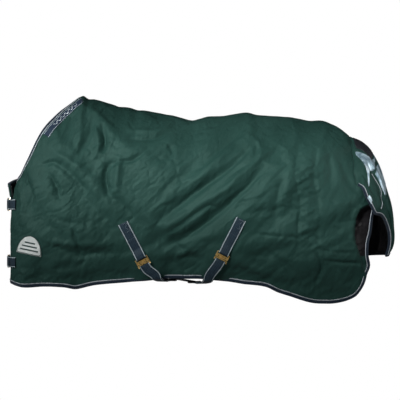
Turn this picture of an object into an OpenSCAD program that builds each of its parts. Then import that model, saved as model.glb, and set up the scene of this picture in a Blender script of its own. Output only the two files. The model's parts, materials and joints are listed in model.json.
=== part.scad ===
// Horse turnout rug, hung in the shape it has on a horse.
// +X runs from the chest to the tail, -Y is the near side, +Z is up.
// The origin is on the underside of the lining at the dip of the back.

/* [Layers] */
// Thickness of the woven outer shell in mm
shell_t = 2; // [1.5:0.5:2.5]
// Thickness of the fibre fill in mm
fill_t = 8; // [4:1:10]
// Thickness of the lining in mm
lining_t = 2; // [1:0.5:2.5]
// Space between two layers in mm
layer_gap = 1; // [0.8:0.1:1.2]

/* [Body] */
// Half of the width at the widest part of the barrel in mm
barrel_half_w = 300; // [285:5:315]
// How far the hanging sides tuck in towards the hem, as a share of the half width
tuck = 0.10; // [0.06:0.01:0.14]

/* [Trim] */
// Width of the edge binding in mm
binding_w = 14; // [10:1:16]
// Width of the piping beside the binding in mm
piping_w = 3.2; // [2.4:0.2:4]

/* [Webbing] */
// Width of every webbing strap in mm
web_w = 50; // [40:1:50]
// Thickness of the webbing in mm
web_t = 2.4; // [2:0.2:2.6]

/* [Hardware] */
// Thickness of the pressed brass plates in mm
plate_t = 3; // [2.4:0.2:3]

/* [Hidden] */

shell_green = [0.09, 0.17, 0.14];
binding_navy = [0.04, 0.07, 0.12];
piping_grey = [0.62, 0.66, 0.72];
fill_white = [0.85, 0.85, 0.82];
lining_black = [0.03, 0.03, 0.035];
web_navy = [0.05, 0.09, 0.13];
brass = [0.72, 0.53, 0.22];
silver_grey = [0.66, 0.71, 0.76];

stack_t = shell_t + fill_t + lining_t + 2 * layer_gap;
width_k = barrel_half_w / 300;

// Side outlines: position along the rug, then height of the outer face.
crest_line = [
    [-870, -290], [-813, -142], [-776, -33], [-705, 48], [-634, 72], [-574, 93], [-521, 119],
    [-480, 102], [-370, 72], [-230, 48], [-115, 24], [0, 0], [90, 18], [255, 37], [330, 27],
    [440, 18], [566, -2], [651, -12], [710, -44], [770, -90], [822, -134], [850, -170], [890, -244],
];
hem_line = [
    [-870, -765], [-715, -778], [-530, -784], [-293, -752], [-158, -727], [-21, -722], [66, -726],
    [235, -763], [340, -778], [446, -818], [551, -850], [622, -856], [700, -852], [765, -832],
    [800, -790], [890, -780],
];
// Half width along the rug, before the rounding of the chest.
wide_line = [
    [-870, 262], [-560, 266], [-300, 284], [0, 294], [250, 300], [450, 296], [600, 281],
    [720, 258], [800, 236], [850, 214], [900, 184],
];
// Share of the drop that the neck opening cuts away.
neck_cut = [
    [-870, 0.02], [-813, 0.193], [-776, 0.234], [-705, 0.137], [-634, 0.058], [-574, 0.018], [-521, 0],
];
// Rear edge: share of the drop, then position along the rug.
rear_line = [
    [0, 822], [0.2, 868], [0.28, 880], [0.42, 855], [0.6, 838], [0.72, 826], [0.83, 838], [1, 800],
];

chest_x = -870;
nose_x = -560;
nose_len = nose_x - chest_x;
nose_w = 257 * width_k;
withers_x = -521;
spine_gap = 1;
dome_share = 0.5;

function hermite(a, b, ta, tb, h, u) =
    (2 * u * u * u - 3 * u * u + 1) * a
    + (u * u * u - 2 * u * u + u) * h * ta
    + (3 * u * u - 2 * u * u * u) * b
    + (u * u * u - u * u) * h * tb;
function slope(p, k) =
    let (a = max(k - 1, 0), b = min(k + 1, len(p) - 1))
    (p[b][1] - p[a][1]) / (p[b][0] - p[a][0]);
function span(p, x, k = 0) = (k >= len(p) - 2 || x < p[k + 1][0]) ? k : span(p, x, k + 1);
function along(p, x) =
    let (xc = min(max(x, p[0][0]), p[len(p) - 1][0]), k = span(p, xc), h = p[k + 1][0] - p[k][0])
    hermite(p[k][1], p[k + 1][1], slope(p, k), slope(p, k + 1), h, (xc - p[k][0]) / h);
function unit(v) = v / norm(v);
function flat(rows) = [for (row = rows) for (p = row) p];

// Body surface, near side. g is the share of the drop from crest to hem.
function half_w(x) =
    width_k * along(wide_line, x)
    * (x < nose_x ? sqrt(max(0, 1 - pow((nose_x - x) / nose_len, 2))) : 1);
function drape(g) =
    g < dome_share
        ? sqrt(max(0, 1 - pow(1 - g / dome_share, 2)))
        : 1 - tuck * pow((g - dome_share) / (1 - dome_share), 2);
function side_y(x, g) = -(spine_gap + half_w(x) * drape(g));
function drop_at(x, z) =
    let (top = along(crest_line, x), low = along(hem_line, x))
    min(max((top - z) / (top - low), 0), 1);
function on_side(x, z) = [x, side_y(x, drop_at(x, z)), z];
function side_normal(x, z) =
    let (e = 2, dx = on_side(x + e, z)[1] - on_side(x - e, z)[1],
        dz = on_side(x, z + e)[1] - on_side(x, z - e)[1])
    unit([dx / (2 * e), -1, dz / (2 * e)]);

function spread(v, x) =
    let (straight = min(max((withers_x - x) / 80, 0), 1))
    (1 - straight) * v * v / (0.25 + 0.75 * v) + straight * v;
function skin(t, v) =
    let (rear = along(rear_line, v * v / (0.25 + 0.75 * v)),
        x = chest_x + (rear - chest_x) * t * t / (0.12 + 0.88 * t),
        cut = x < withers_x ? along(neck_cut, x) : 0,
        g = cut + (1 - cut) * spread(v, x),
        top = along(crest_line, x), low = along(hem_line, x))
    [x, side_y(x, g), top + (low - top) * g];
function skin_normal(t, v) =
    let (e = 0.004, ta = max(t - e, 0), tb = min(t + e, 1), va = max(v - e, 0), vb = min(v + e, 1))
    -unit(cross(skin(tb, v) - skin(ta, v), skin(t, vb) - skin(t, va)));
function skin_off(t, v, d) = skin(t, v) + d * skin_normal(t, v);
// The place along a row at which the skin reaches a given x.
function t_at(x, v) =
    let (rear = along(rear_line, v * v / (0.25 + 0.75 * v)), s = (x - chest_x) / (rear - chest_x))
    (0.88 * s + sqrt(0.7744 * s * s + 0.48 * s)) / 2;

// A closed sheet between two grids of points of the same size.
module sheet(outer, inner) {
    m = len(outer);
    n = len(outer[0]);
    base = m * n;
    points = concat(flat(outer), flat(inner));
    skin_faces = [
        for (i = [0:m - 2]) for (j = [0:n - 2])
        let (a = i * n + j, b = a + n, c = b + 1, d = a + 1)
        each [[a, b, c], [a, c, d], [base + a, base + c, base + b], [base + a, base + d, base + c]]
    ];
    edge = concat(
        [for (i = [0:m - 2]) [i * n, (i + 1) * n]],
        [for (j = [0:n - 2]) [(m - 1) * n + j, (m - 1) * n + j + 1]],
        [for (i = [m - 1:-1:1]) [i * n + n - 1, (i - 1) * n + n - 1]],
        [for (j = [n - 1:-1:1]) [j, j - 1]]
    );
    wall_faces = [
        for (e = edge)
        each [[e[1], e[0], base + e[0]], [e[1], base + e[0], base + e[1]]]
    ];
    polyhedron(points = points, faces = concat(skin_faces, wall_faces));
}

// A strip of width w along a path, between heights low and high above it.
module strip(path, normals, w, low, high, shift = 0) {
    n = len(path) - 1;
    dirs = [for (k = [0:n]) unit(path[min(k + 1, n)] - path[max(k - 1, 0)])];
    sides = [for (k = [0:n]) unit(cross(dirs[k], normals[k]))];
    mids = [for (k = [0:n]) path[k] + shift * sides[k]];
    outer = [for (k = [0:n]) [for (s = [1, -1]) mids[k] + s * w / 2 * sides[k] + high * normals[k]]];
    inner = [for (k = [0:n]) [for (s = [1, -1]) mids[k] + s * w / 2 * sides[k] + low * normals[k]]];
    sheet(inner, outer);
}

module raised() {
    translate([0, 0, stack_t]) children();
}
module far_side() {
    mirror([0, 1, 0]) children();
}
// Keeps what lies on the near side of the centre plane.
mid_gap = 0.4;
space_half = 1200;
module near_half() {
    intersection() {
        children();
        translate([-space_half, -mid_gap - space_half, -space_half]) cube(
            [2 * space_half, space_half, 2 * space_half]
        );
    }
}

skin_cols = 30;
skin_rows = 12;
module skin_layer(high, low) {
    outer = [
        for (i = [0:skin_cols]) [for (j = [0:skin_rows]) skin_off(i / skin_cols, j / skin_rows, high)]
    ];
    inner = [for (i = [0:skin_cols]) [for (j = [0:skin_rows]) skin_off(i / skin_cols, j / skin_rows, low)]];
    raised() sheet(outer, inner);
}
fill_top = -shell_t - layer_gap;
lining_top = fill_top - fill_t - layer_gap;

module near_outer_shell() {
    color(shell_green) skin_layer(0, -shell_t);
}
module far_outer_shell() {
    color(shell_green) far_side() skin_layer(0, -shell_t);
}
module near_fibre_fill() {
    color(fill_white) skin_layer(fill_top, fill_top - fill_t);
}
module far_fibre_fill() {
    color(fill_white) far_side() skin_layer(fill_top, fill_top - fill_t);
}
module near_lining() {
    color(lining_black) skin_layer(lining_top, lining_top - lining_t);
}
module far_lining() {
    color(lining_black) far_side() skin_layer(lining_top, lining_top - lining_t);
}

// Tape over the centre seam, from the withers to the front of the tail flap.
tape_w = 30;
tape_t = 1.2;
tape_lift = 1.2;
tape_from = -480;
tape_to = 742;
module spine_seam_tape() {
    path = [
        for (k = [0:skin_cols])
        let (p = skin(k / skin_cols, 0))
        if (p[0] > tape_from && p[0] < tape_to) [p[0], 0, p[2]]
    ];
    count = len(path) - 1;
    up = [for (k = [0:count]) unit(cross([0, -1, 0], path[min(k + 1, count)] - path[max(k - 1, 0)]))];
    color(shell_green) raised() strip(path, up, tape_w, tape_lift, tape_lift + tape_t);
}

// Panel behind the meeting front edges. It follows the chest at an arc angle and a height.
underlap_t = 2;
underlap_gap = 3;
underlap_arc = 15;
underlap_top = -322;
underlap_low = -748;
function chest_at(a, z) =
    let (x = nose_x - nose_len * cos(a), w = width_k * along(wide_line, x) * drape(drop_at(x, z)))
    [x, -w * sin(a), z];
function chest_normal(a, z) =
    unit(cross(chest_at(a + 1, z) - chest_at(a - 1, z), chest_at(a, z + 4) - chest_at(a, z - 4)));
module chest_underlap() {
    rows = 8;
    cols = 8;
    function at(i, j, d) =
        let (a = underlap_arc * (2 * i / cols - 1),
            z = underlap_top + (underlap_low - underlap_top) * j / rows)
        chest_at(a, z) - (stack_t + underlap_gap + d) * chest_normal(a, z);
    outer = [for (i = [0:cols]) [for (j = [0:rows]) at(cols - i, j, 0)]];
    inner = [for (i = [0:cols]) [for (j = [0:rows]) at(cols - i, j, underlap_t)]];
    color(shell_green) raised() sheet(inner, outer);
}

// Edges of the body: the hem from chest to rear corner, then up the rear edge.
edge_tv = concat(
    [for (k = [0:skin_cols]) [k / skin_cols, 1]],
    [for (k = [1:skin_rows]) [1, 1 - k / skin_rows]]
);
edge_path = [for (p = edge_tv) skin(p[0], p[1])];
edge_up = [for (p = edge_tv) skin_normal(p[0], p[1])];
neck_end_x = withers_x - 20;
neck_cols = floor(skin_cols * t_at(neck_end_x, 0));
neck_tv = [for (k = [neck_cols:-1:0]) [k / skin_cols, 0]];
neck_path = [for (p = neck_tv) skin(p[0], p[1])];
neck_up = [for (p = neck_tv) skin_normal(p[0], p[1])];
edge_gap = 1;
binding_lift = 0.5;
binding_over = edge_gap + binding_w / 2;
piping_back = -1.5 - piping_w / 2;
piping_lift = 0.6;

module edge_binding(path, up) {
    raised() near_half() strip(path, up, binding_w, -stack_t - binding_lift, binding_lift, binding_over);
}
module edge_piping(path, up) {
    raised() near_half() strip(path, up, piping_w, piping_lift, piping_lift + piping_w, piping_back);
}
module near_hem_binding() {
    color(binding_navy) edge_binding(edge_path, edge_up);
}
module far_hem_binding() {
    color(binding_navy) far_side() edge_binding(edge_path, edge_up);
}
module near_hem_piping() {
    color(piping_grey) edge_piping(edge_path, edge_up);
}
module far_hem_piping() {
    color(piping_grey) far_side() edge_piping(edge_path, edge_up);
}
module near_neck_binding() {
    color(binding_navy) edge_binding(neck_path, neck_up);
}
module far_neck_binding() {
    color(binding_navy) far_side() edge_binding(neck_path, neck_up);
}
module near_neck_piping() {
    color(piping_grey) edge_piping(neck_path, neck_up);
}
module far_neck_piping() {
    color(piping_grey) far_side() edge_piping(neck_path, neck_up);
}

// Plain woven band sewn beside the neck edge on the near side.
label_w = 34;
label_t = 1.2;
label_lift = 2;
label_in = 7;
label_from = -553;
label_to = -730;
module neck_label_band() {
    ts = [
        for (k = [neck_cols:-1:0])
        let (x = skin(k / skin_cols, 0)[0])
        if (x < label_from && x > label_to) k / skin_cols
    ];
    path = [for (t = ts) skin(t, 0)];
    up = [for (t = ts) skin_normal(t, 0)];
    color(binding_navy) raised()
        strip(path, up, label_w, label_lift, label_lift + label_t, -label_in - label_w / 2);
}

// Half-round badge with its flat side down, tilted with the chest.
badge_x = -760;
badge_z = -632;
badge_half_w = 62;
badge_h = 88;
badge_tilt = -10;
badge_t = 1.2;
badge_lift = 0.8;
module chest_badge() {
    cols = 14;
    rows = 5;
    function at(i, j, d) =
        let (a = 170 - 160 * i / cols, u = badge_half_w * cos(a),
            w = badge_h * sin(a) * (1 - j / rows),
            x = badge_x + u * cos(badge_tilt) - w * sin(badge_tilt),
            z = badge_z + u * sin(badge_tilt) + w * cos(badge_tilt))
        on_side(x, z) + d * side_normal(x, z);
    outer = [for (i = [0:cols]) [for (j = [0:rows]) at(i, j, badge_lift + badge_t)]];
    inner = [for (i = [0:cols]) [for (j = [0:rows]) at(i, j, badge_lift)]];
    color(silver_grey) raised() sheet(outer, inner);
}

// Hook-and-plate fastener in its own axes: x across the strap, -y along it, z off the cloth.
web_clear = 0.4;
bar_r = 2;
ring_in = 2.8;
ring_out = ring_in + web_t;
plate_lift = 2 + ring_out;
frame_half_w = 31;
slot_half_w = 26.5;
hook_lift = plate_lift + plate_t + 0.4;
hook_bar_y = -37;
hook_ring_in = bar_r + web_clear;
hook_ring_out = hook_ring_in + web_t;

// Loop of webbing sewn round a bar.
module web_ring(r_in, r_out) {
    rotate([0, 90, 0])
        difference() {
            cylinder(r = r_out, h = web_w, center = true, $fn = 48);
            cylinder(r = r_in, h = web_w + 2, center = true, $fn = 48);
        }
}
module frame_outline(w, top, bottom, r) {
    translate([-w + r, bottom + r]) square([2 * (w - r), top - bottom - 2 * r]);
    translate([-w, bottom + r]) square([2 * w, top - bottom - 2 * r]);
    translate([-w + r, bottom]) square([2 * (w - r), top - bottom]);
    for (x = [-w + r, w - r]) for (y = [bottom + r, top - r])
        translate([x, y]) circle(r = r, $fn = 32);
}
// Catch plate: the strap's loop holds its top bar, the hook drops into its lower slot.
plate_top = 2;
plate_end = -24;
plate_corner = 2;
slot_h = 7;
strap_slot_y = -9;
hook_slot_y = -20;
hook_slot_half_w = 18;
module catch_plate() {
    translate([0, 0, plate_lift - plate_t / 2])
        linear_extrude(plate_t)
            difference() {
                frame_outline(frame_half_w, plate_top, plate_end, plate_corner);
                translate([-slot_half_w, strap_slot_y]) square([2 * slot_half_w, slot_h]);
                translate([-hook_slot_half_w, hook_slot_y]) square([2 * hook_slot_half_w, slot_h]);
            }
}
// T-hook: a frame on the webbing's bar, a neck, and a cross lip that drops into the catch plate.
beam_top = -26;
beam_end = -34;
beam_slot_top = -30;
side_from = -32;
neck_half_w = 10;
neck_top = -14;
cross_half_w = 15;
cross_top = -13.8;
cross_end = -19.5;
cross_corner = 1.5;
lip_half_w = 14;
lip_y = -17.2;
lip_t = 3;
lip_below = 0.6;
module t_hook() {
    lip_low = plate_lift - plate_t / 2 - lip_below;
    translate([0, 0, hook_lift - plate_t / 2])
        linear_extrude(plate_t)
            difference() {
                union() {
                    frame_outline(frame_half_w, beam_top, beam_end, plate_corner);
                    translate([-neck_half_w, beam_top - 1])
                        square([2 * neck_half_w, neck_top - beam_top + 1]);
                    frame_outline(cross_half_w, cross_top, cross_end, cross_corner);
                }
                translate([-slot_half_w, beam_end - plate_corner])
                    square([2 * slot_half_w, beam_slot_top - beam_end + plate_corner]);
            }
    translate([-lip_half_w, lip_y, lip_low]) cube([2 * lip_half_w, lip_t, hook_lift - lip_low]);
    translate([0, hook_bar_y, hook_lift])
        rotate([0, 90, 0]) cylinder(r = bar_r, h = 2 * frame_half_w, center = true, $fn = 32);
    for (s = [-1, 1])
        translate([s * (frame_half_w + slot_half_w) / 2, (hook_bar_y + side_from) / 2, hook_lift])
            cube([frame_half_w - slot_half_w, side_from - hook_bar_y, plate_t], center = true);
}

// Fasteners on the near flank: x, z, turn in the plane of the cloth.
front_hook = [-232, -645, 27.4];
rear_hook = [146, -623, -27];
flank_tip = 6;
module on_flank(h) {
    p = on_side(h[0], h[1]);
    raised() translate(p) rotate([90 + flank_tip, 0, 0]) rotate([0, 0, h[2]]) children();
}
// A point of the fastener's own axes, in the rug's axes.
function flank_point(h, y, n) =
    let (c = cos(h[2]), s = sin(h[2]), a = 90 + flank_tip, u = -y * s, v = y * c)
    on_side(h[0], h[1]) + [u, v * cos(a) - n * sin(a), v * sin(a) + n * cos(a)];
function flank_up() = [0, -sin(90 + flank_tip), cos(90 + flank_tip)];

front_sewn = [-315, -485];
rear_sewn = [226, -466];
anchor_lift = 2;
module anchor_strap(h, sewn) {
    count = 6;
    end = flank_point(h, 1, 0);
    path = [
        for (k = [0:count])
        let (u = k / count, x = sewn[0] + (end[0] - sewn[0]) * u, z = sewn[1] + (end[2] - sewn[1]) * u)
        k == count ? end : on_side(x, z)
    ];
    up = [for (k = [0:count]) k == count ? flank_up() : side_normal(path[k][0], path[k][2])];
    raised() strip(path, up, web_w, anchor_lift, anchor_lift + web_t);
    on_flank(h) translate([0, 0, plate_lift]) web_ring(ring_in, ring_out);
}
module front_anchor_strap() {
    color(web_navy) anchor_strap(front_hook, front_sewn);
}
module rear_anchor_strap() {
    color(web_navy) anchor_strap(rear_hook, rear_sewn);
}
module front_catch_plate() {
    color(brass) on_flank(front_hook) catch_plate();
}
module rear_catch_plate() {
    color(brass) on_flank(rear_hook) catch_plate();
}
module front_t_hook() {
    color(brass) on_flank(front_hook) t_hook();
}
module rear_t_hook() {
    color(brass) on_flank(rear_hook) t_hook();
}

// Belly webbing: from the near hook, down round the hem, straight under, up the far side.
belly_mid_x = -45;
belly_half_x = 92;
belly_turn_y = 232;
hook_web_drop = hook_ring_out - web_t / 2;
// Where the webbing crosses the hem: along from the hook, above the hem, off the cloth.
hem_shift = 62;
hem_above = 8;
hem_off = 8.5;
// Where it turns under: along from the hem crossing, half apart, above the belly run.
under_shift = 14;
under_y = 268;
under_above = 10;
// The far side up to the sewn end: steps along and down, and distances off the cloth.
far_step = [52, 98];
far_step_low = [106, 198];
far_off = 3.6;
far_off_low = 6.5;
function flip_y(p) = [p[0], -p[1], p[2]];
function belly_points(h, z, sewn, s) =
    let (start = flank_point(h, hook_bar_y + 1, hook_lift - hook_web_drop),
        hem_x = h[0] + s * hem_shift, far_x = 2 * belly_mid_x - hem_x,
        near_p = on_side(hem_x, along(hem_line, hem_x) + hem_above),
        far_p = on_side(far_x, along(hem_line, far_x) + hem_above),
        low_p = on_side(sewn[0] - s * far_step_low[0], sewn[1] - far_step_low[1]),
        mid_p = on_side(sewn[0] - s * far_step[0], sewn[1] - far_step[1]),
        top_p = on_side(sewn[0], sewn[1]))
    [
        [start, flank_up()],
        [near_p + [0, -hem_off, 0], [0, -1, -0.1]],
        [[hem_x + s * under_shift, -under_y * width_k, z + under_above], [0, -0.75, -0.65]],
        [[belly_mid_x - s * belly_half_x, -belly_turn_y, z], [0, -0.05, -1]],
        [[belly_mid_x, 0, z], [0, 0, -1]],
        [[belly_mid_x + s * belly_half_x, belly_turn_y, z], [0, 0.05, -1]],
        [[far_x - s * under_shift, under_y * width_k, z + under_above], [0, 0.75, -0.65]],
        [flip_y(far_p) + [0, hem_off, 0], [0, 1, -0.1]],
        [flip_y(low_p) + [0, far_off_low, 0], [0, 1, -0.1]],
        [flip_y(mid_p) + [0, far_off, 0], [0, 1, -0.02]],
        [flip_y(top_p) + [0, far_off, 0], [0, 1, 0.02]],
    ];
function blend(a, b, u) = a + (b - a) * u;
function curve(pts, k, u) =
    let (a = pts[k], b = pts[k + 1], before = pts[max(k - 1, 0)], after = pts[min(k + 2, len(pts) - 1)],
        ta = unit(b - before) * norm(b - a), tb = unit(after - a) * norm(b - a))
    hermite(a, b, ta, tb, 1, u);
belly_cuts = 3;
module belly_webbing(h, z, sewn, s) {
    keys = belly_points(h, z, sewn, s);
    pts = [for (k = keys) k[0]];
    ups = [for (k = keys) unit(k[1])];
    straight = [3, 4];
    steps = [
        for (k = [0:len(keys) - 2])
        for (c = [0:belly_cuts - 1])
        [k, c / belly_cuts]
    ];
    path = concat(
        [for (q = steps) (q[0] == straight[0] || q[0] == straight[1])
            ? blend(pts[q[0]], pts[q[0] + 1], q[1])
            : curve(pts, q[0], q[1])],
        [pts[len(pts) - 1]]
    );
    n = len(path) - 1;
    rough = concat([for (q = steps) blend(ups[q[0]], ups[q[0] + 1], q[1])], [ups[len(ups) - 1]]);
    up = [
        for (k = [0:n])
        let (d = unit(path[min(k + 1, n)] - path[max(k - 1, 0)]))
        unit(rough[k] - d * (rough[k] * d))
    ];
    raised() strip(path, up, web_w, -web_t / 2, web_t / 2);
    on_flank(h) translate([0, hook_bar_y, hook_lift]) web_ring(hook_ring_in, hook_ring_out);
}
front_belly_z = -752;
rear_belly_z = -762;
module front_belly_webbing() {
    color(web_navy) belly_webbing(front_hook, front_belly_z, rear_sewn, 1);
}
module rear_belly_webbing() {
    color(web_navy) belly_webbing(rear_hook, rear_belly_z, front_sewn, -1);
}

// Slider: outer bars below the webbing, middle bar above it.
slider_y = -145;
slider_len = 26;
slider_high = web_t / 2 + 0.7;
slider_bar_t = 2.6;
slider_bar_w = 4;
slider_mid_bar_w = 5;
slider_wall = 4;
slider_side_gap = 1;
slider_inner = web_w + 2 * slider_side_gap;
belly_turn = atan(belly_half_x / belly_turn_y);
module strap_slider(s, z) {
    x = belly_mid_x + s * slider_y * tan(belly_turn);
    raised() translate([x, slider_y, z]) rotate([0, 0, -s * belly_turn]) {
        for (e = [-1, 1])
            translate([e * (slider_inner / 2 + slider_wall / 2), 0, 0])
                cube([slider_wall, slider_len, 2 * (slider_high + slider_bar_t)], center = true);
        for (e = [-1, 1])
            translate([0, e * (slider_len - slider_bar_w) / 2, -slider_high - slider_bar_t / 2])
                cube([slider_inner + slider_wall, slider_bar_w, slider_bar_t], center = true);
        translate([0, 0, slider_high + slider_bar_t / 2])
            cube([slider_inner + slider_wall, slider_mid_bar_w, slider_bar_t], center = true);
    }
}
module front_strap_slider() {
    color(binding_navy) strap_slider(1, front_belly_z);
}
module rear_strap_slider() {
    color(binding_navy) strap_slider(-1, rear_belly_z);
}

// Chest closures: the tab is sewn on the far side, the strap on the near side.
upper_chest_z = -400;
lower_chest_z = -672;
chest_hook_y = 22;
chest_sewn_arc = 31;
chest_web_lift = 3;
// The fastener sits a little further back where the chest narrows towards the neck.
chest_probe_x = -700;
chest_narrowing = 8;
function chest_front(z) =
    [chest_x - 1 + (1 - drape(drop_at(chest_probe_x, z))) * chest_narrowing, chest_hook_y, z];
module on_chest(z) {
    raised() translate(chest_front(z)) rotate([90, 0, -90]) rotate([0, 0, 90]) children();
}
// Webbing round the chest from an arc angle to the fastener; s is 1 on the near side.
chest_rise = 0.9;
chest_flatten = 0.6;
module chest_web(z, s, y_end, n_end) {
    count = 7;
    a_end = asin(abs(y_end) / nose_w);
    rise = n_end + nose_len * (1 - cos(a_end)) * chest_rise - chest_web_lift;
    at = [
        for (k = [0:count])
        let (u = k / count, a = chest_sewn_arc + (a_end - chest_sewn_arc) * u,
            off = chest_web_lift + rise * u * u)
        [nose_x - (nose_len + off) * cos(a), -s * (nose_w + off) * sin(a), z]
    ];
    up = [
        for (k = [0:count])
        let (u = k / count,
            a = (chest_sewn_arc + (a_end - chest_sewn_arc) * u) * (1 - chest_flatten * u * u * u))
        unit([-cos(a) * nose_w, -s * sin(a) * nose_len, 0])
    ];
    raised() strip(at, up, web_w, 0, web_t);
}
module chest_strap(z) {
    chest_web(z, 1, chest_hook_y + hook_bar_y, hook_lift - hook_ring_out + web_clear);
    on_chest(z) translate([0, hook_bar_y, hook_lift]) web_ring(hook_ring_in, hook_ring_out);
}
module chest_tab(z) {
    chest_web(z, -1, chest_hook_y, chest_web_lift);
    on_chest(z) translate([0, 0, plate_lift]) web_ring(ring_in, ring_out);
}
module upper_chest_strap() {
    color(web_navy) chest_strap(upper_chest_z);
}
module lower_chest_strap() {
    color(web_navy) chest_strap(lower_chest_z);
}
module upper_chest_tab() {
    color(web_navy) chest_tab(upper_chest_z);
}
module lower_chest_tab() {
    color(web_navy) chest_tab(lower_chest_z);
}
module upper_chest_catch_plate() {
    color(brass) on_chest(upper_chest_z) catch_plate();
}
module lower_chest_catch_plate() {
    color(brass) on_chest(lower_chest_z) catch_plate();
}
module upper_chest_t_hook() {
    color(brass) on_chest(upper_chest_z) t_hook();
}
module lower_chest_t_hook() {
    color(brass) on_chest(lower_chest_z) t_hook();
}

// Tail flap: a centre line from the croup seam to the tip, and two wings folded forward.
flap_x = [
    [0, 762], [0.12, 811], [0.25, 854], [0.4, 898], [0.55, 928], [0.7, 953], [0.82, 964], [0.92, 963],
    [1, 943],
];
flap_z = [
    [0, -68], [0.12, -96], [0.25, -138], [0.4, -220], [0.55, -319], [0.7, -408], [0.82, -506],
    [0.92, -581], [1, -642],
];
flap_lean = [[0, 0], [0.25, 15], [0.4, 26], [0.55, 34], [0.7, 55], [0.82, 73], [1, 85]];
near_fold = [[0, 228], [0.25, 221], [0.4, 188], [0.55, 149], [0.7, 84], [0.82, 48], [0.92, 38], [1, 30]];
far_fold = [[0, 228], [0.25, 221], [0.4, 188], [0.55, 149], [0.7, 92], [0.82, 80], [0.92, 80], [1, 74]];
near_reach = [
    [0, 248], [0.25, 254], [0.4, 252], [0.55, 242], [0.7, 198], [0.82, 152], [0.92, 130], [1, 112],
];
far_reach = [
    [0, 248], [0.25, 254], [0.4, 252], [0.55, 242], [0.7, 204], [0.82, 184], [0.92, 174], [1, 165],
];
flap_arc = 68;
flap_t = 2;
flap_gap = 1;
flap_lining_t = 1.6;

function flap(a, w) =
    let (s = w < 0 ? -1 : 1, lean = along(flap_lean, a), p = flap_arc * abs(w),
        d = along(s < 0 ? near_fold : far_fold, a) * (1 - cos(p)) / (1 - cos(flap_arc)),
        y = along(s < 0 ? near_reach : far_reach, a) * width_k * sin(p) / sin(flap_arc))
    [along(flap_x, a) - d * sin(lean), s * y, along(flap_z, a) - d * cos(lean)];
function flap_up(a, w) =
    let (e = 0.01, a1 = max(a - e, 0), a2 = min(a + e, 1), w1 = max(w - e, -1), w2 = min(w + e, 1))
    unit(cross(flap(a, w2) - flap(a, w1), flap(a2, w) - flap(a1, w))) * -1;
function flap_off(a, w, d) = flap(a, w) + d * flap_up(a, w);
flap_cols = 16;
flap_rows = 16;
module flap_patch(a0, a1, w0, w1, dip, low, high, cols, rows) {
    function at(i, j, d) =
        let (w = w0 + (w1 - w0) * i / cols, a = a0 + (a1 - a0) * j / rows + dip * abs(w))
        flap_off(a, w, d);
    outer = [for (i = [0:cols]) [for (j = [0:rows]) at(cols - i, j, high)]];
    inner = [for (i = [0:cols]) [for (j = [0:rows]) at(cols - i, j, low)]];
    raised() sheet(inner, outer);
}
module tail_flap_shell() {
    color(shell_green) flap_patch(0, 1, -1, 1, 0, -flap_t, 0, flap_cols, flap_rows);
}
module tail_flap_lining() {
    low = -flap_t - flap_gap - flap_lining_t;
    color(lining_black) flap_patch(0, 1, -1, 1, 0, low, -flap_t - flap_gap, flap_cols, flap_rows);
}
flap_edge_aw = concat(
    [for (k = [0:flap_rows]) [k / flap_rows, -1]],
    [for (k = [1:flap_cols]) [1, -1 + 2 * k / flap_cols]],
    [for (k = [1:flap_rows]) [1 - k / flap_rows, 1]]
);
flap_edge = [for (q = flap_edge_aw) flap(q[0], q[1])];
flap_edge_up = [for (q = flap_edge_aw) flap_up(q[0], q[1])];
flap_binding_w = 11;
flap_binding_over = 0.4;
flap_edge_gap = 1.6;
flap_piping_lift = 1.6;
flap_piping_back = -3 - piping_w / 2;
flap_stack = flap_t + flap_gap + flap_lining_t;
module tail_flap_binding() {
    color(binding_navy) raised()
        strip(
            flap_edge, flap_edge_up, flap_binding_w, -flap_stack - flap_binding_over, flap_binding_over,
            flap_edge_gap + flap_binding_w / 2
        );
}
module tail_flap_piping() {
    color(piping_grey) raised()
        strip(
            flap_edge, flap_edge_up, piping_w,
            flap_piping_lift, flap_piping_lift + piping_w, flap_piping_back
        );
}
band_lift = 1.6;
band_t = 0.8;
band_w = 0.75;
band_dip = 0.16;
upper_band = [0.1, 0.2];
lower_band = [0.32, 0.42];
wing_tab = [0.52, 0.58];
wing_tab_w = [-0.94, -0.8];
module band(a) {
    flap_patch(a[0], a[1], -band_w, band_w, band_dip, band_lift, band_lift + band_t, 12, 3);
}
module upper_reflective_band() {
    color(silver_grey) band(upper_band);
}
module lower_reflective_band() {
    color(silver_grey) band(lower_band);
}
module tail_flap_wing_tab() {
    color(silver_grey) flap_patch(
        wing_tab[0], wing_tab[1], wing_tab_w[0], wing_tab_w[1], 0, band_lift, band_lift + 2 * band_t, 3, 2
    );
}

near_outer_shell();
far_outer_shell();
near_fibre_fill();
far_fibre_fill();
near_lining();
far_lining();
spine_seam_tape();
chest_underlap();
near_hem_binding();
far_hem_binding();
near_hem_piping();
far_hem_piping();
near_neck_binding();
far_neck_binding();
near_neck_piping();
far_neck_piping();
neck_label_band();
chest_badge();
upper_chest_strap();
lower_chest_strap();
upper_chest_tab();
lower_chest_tab();
upper_chest_catch_plate();
lower_chest_catch_plate();
upper_chest_t_hook();
lower_chest_t_hook();
front_anchor_strap();
rear_anchor_strap();
front_catch_plate();
rear_catch_plate();
front_t_hook();
rear_t_hook();
front_belly_webbing();
rear_belly_webbing();
front_strap_slider();
rear_strap_slider();
tail_flap_shell();
tail_flap_lining();
tail_flap_binding();
tail_flap_piping();
upper_reflective_band();
lower_reflective_band();
tail_flap_wing_tab();
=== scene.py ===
import json
import math

import bpy
import numpy as np
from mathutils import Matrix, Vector
from mathutils.bvhtree import BVHTree

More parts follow.
